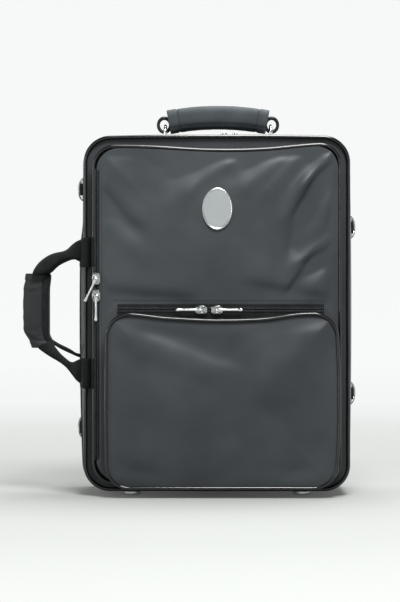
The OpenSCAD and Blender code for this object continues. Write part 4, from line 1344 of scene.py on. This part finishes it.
lidPad = addPanel("frontPad", lidBox, 21.0, velvetValues["lidY"], 4.0, 1)
movePoints(lidPad, padShape(lidBox, velvetValues["lidY"], 0.8, 1))
pullWalls(lidPad, [-2.8, -3.0])
applyModifier(lidPad, "SOLIDIFY", thickness=0.8 * mm, offset=-1)
finishVelvet(lidPad, "front_pad", 50, "front_shell")
skirtLine = outline((-135.1, 135.1, 11.9, 376.1), 21.1, 4.0)


def skirtPoint(i, j):  # the velvet that covers the wall between the lid's pad and its rim
    x, z = skirtLine[i % len(skirtLine)][:2]
    return x, -19.0 + 17.4 * j / 4, z


skirt = addSheet("frontSkirt", len(skirtLine), 4, skirtPoint)
cleanUp(skirt, 0.01)
applyModifier(skirt, "SOLIDIFY", thickness=0.7 * mm, offset=0)
finishPiece(skirt, "front_shell", "velvet", (), 50)
print("stage: velvet")

# floor and light

glowReach = 5.0  # metres over which the paper's glow changes
floorGlowAndPaintedShadow = [  # share of that reach and the glow there; the dimmer glow under and near the case is a painted shadow
    (0.0, "#3a3b3a"), (0.02, "#4d4e4d"), (0.045, "#6a6c6a"), (0.09, "#757775"), (0.2, "#a9aba9"),
    (0.3, "#cccecd"), (0.4, "#dfe1e0"), (0.6, "#e7e9e8"), (1.0, "#eeefef"),
]


def addFloor():  # a glowing paper dish: flat underfoot, curving up all round far from the object, with a painted shadow in its glow under and near the case
    flat, bend, rings = 4.5, 2.2, 30

    def place(i, j):
        reach = (flat + bend * math.pi / 2) * j / rings
        turn = max(0.0, reach - flat) / bend
        out = (min(reach, flat) + bend * math.sin(turn)) * 1000
        angle = 2 * math.pi * i / 72
        return out * math.cos(angle), out * math.sin(angle), bend * (1 - math.cos(turn)) * 1000
    floor = addSheet("paperDish", 72, rings, place)
    bpy.ops.object.shade_smooth()
    material, tree, place = newMaterial("mattePaperWithPaintedShadow", "#949694", {
        "Roughness": 0.95, "Specular IOR Level": 0.1, "Emission Strength": 1.0})
    fibres = addNode(tree, "TexNoise", {"Vector": place, "Scale": noiseScale(1.11),
                                        "Detail": 2.0}).outputs["Fac"]
    dressSurface(material, rough=(fibres, 0.92, 1.0))
    reach = addNode(tree, "VectorMath", {0: place}, operation="LENGTH").outputs["Value"]
    share = addNode(tree, "Math", {0: reach, 1: glowReach}, operation="DIVIDE").outputs[0]
    glow = addNode(tree, "ValToRGB", {"Fac": share})
    for position, colour in floorGlowAndPaintedShadow[1:-1]:
        glow.color_ramp.elements.new(position)
    for element, (position, colour) in zip(glow.color_ramp.elements, floorGlowAndPaintedShadow):
        element.position, element.color = position, hexColour(colour)
    # the paper's glow, dark under and near the case: a painted shadow
    tree.links.new(glow.outputs["Color"], tree.nodes["Principled BSDF"].inputs["Emission Color"])
    floor.data.materials.append(material)
    floor.visible_diffuse = False  # the pale paper would light the dark cloth from below


addFloor()
placeLights()
placeCamera()
bpy.context.scene.view_settings.view_transform = "Standard"
print("stage: studio")

# CAD pieces that keep their shape

keptFinishes = {
    "wood": ["back_board", "back_walls", "front_board", "front_walls"],
    "black": ["hinge_leaf_back", "hinge_leaf_front", "hinge_pin", "hinge_screws_back",
              "hinge_screws_front"],
    "nickel": ["ring_upper_left", "ring_lower_left", "ring_upper_right", "ring_lower_right"],
    "chrome": ["handle_posts", "handle_rivets", "back_feet", "front_feet"],
}
for finish, names in keptFinishes.items():
    for nodeName in names:
        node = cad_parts[nodeName]
        makeActive(node)
        bpy.ops.object.shade_smooth_by_angle(angle=math.radians(35))
        if not node.material_slots:
            node.data.materials.append(None)
        for materialSlot in node.material_slots:
            materialSlot.material = finishes[finish]
leaveEdit()
print("stage: hard pieces finished")
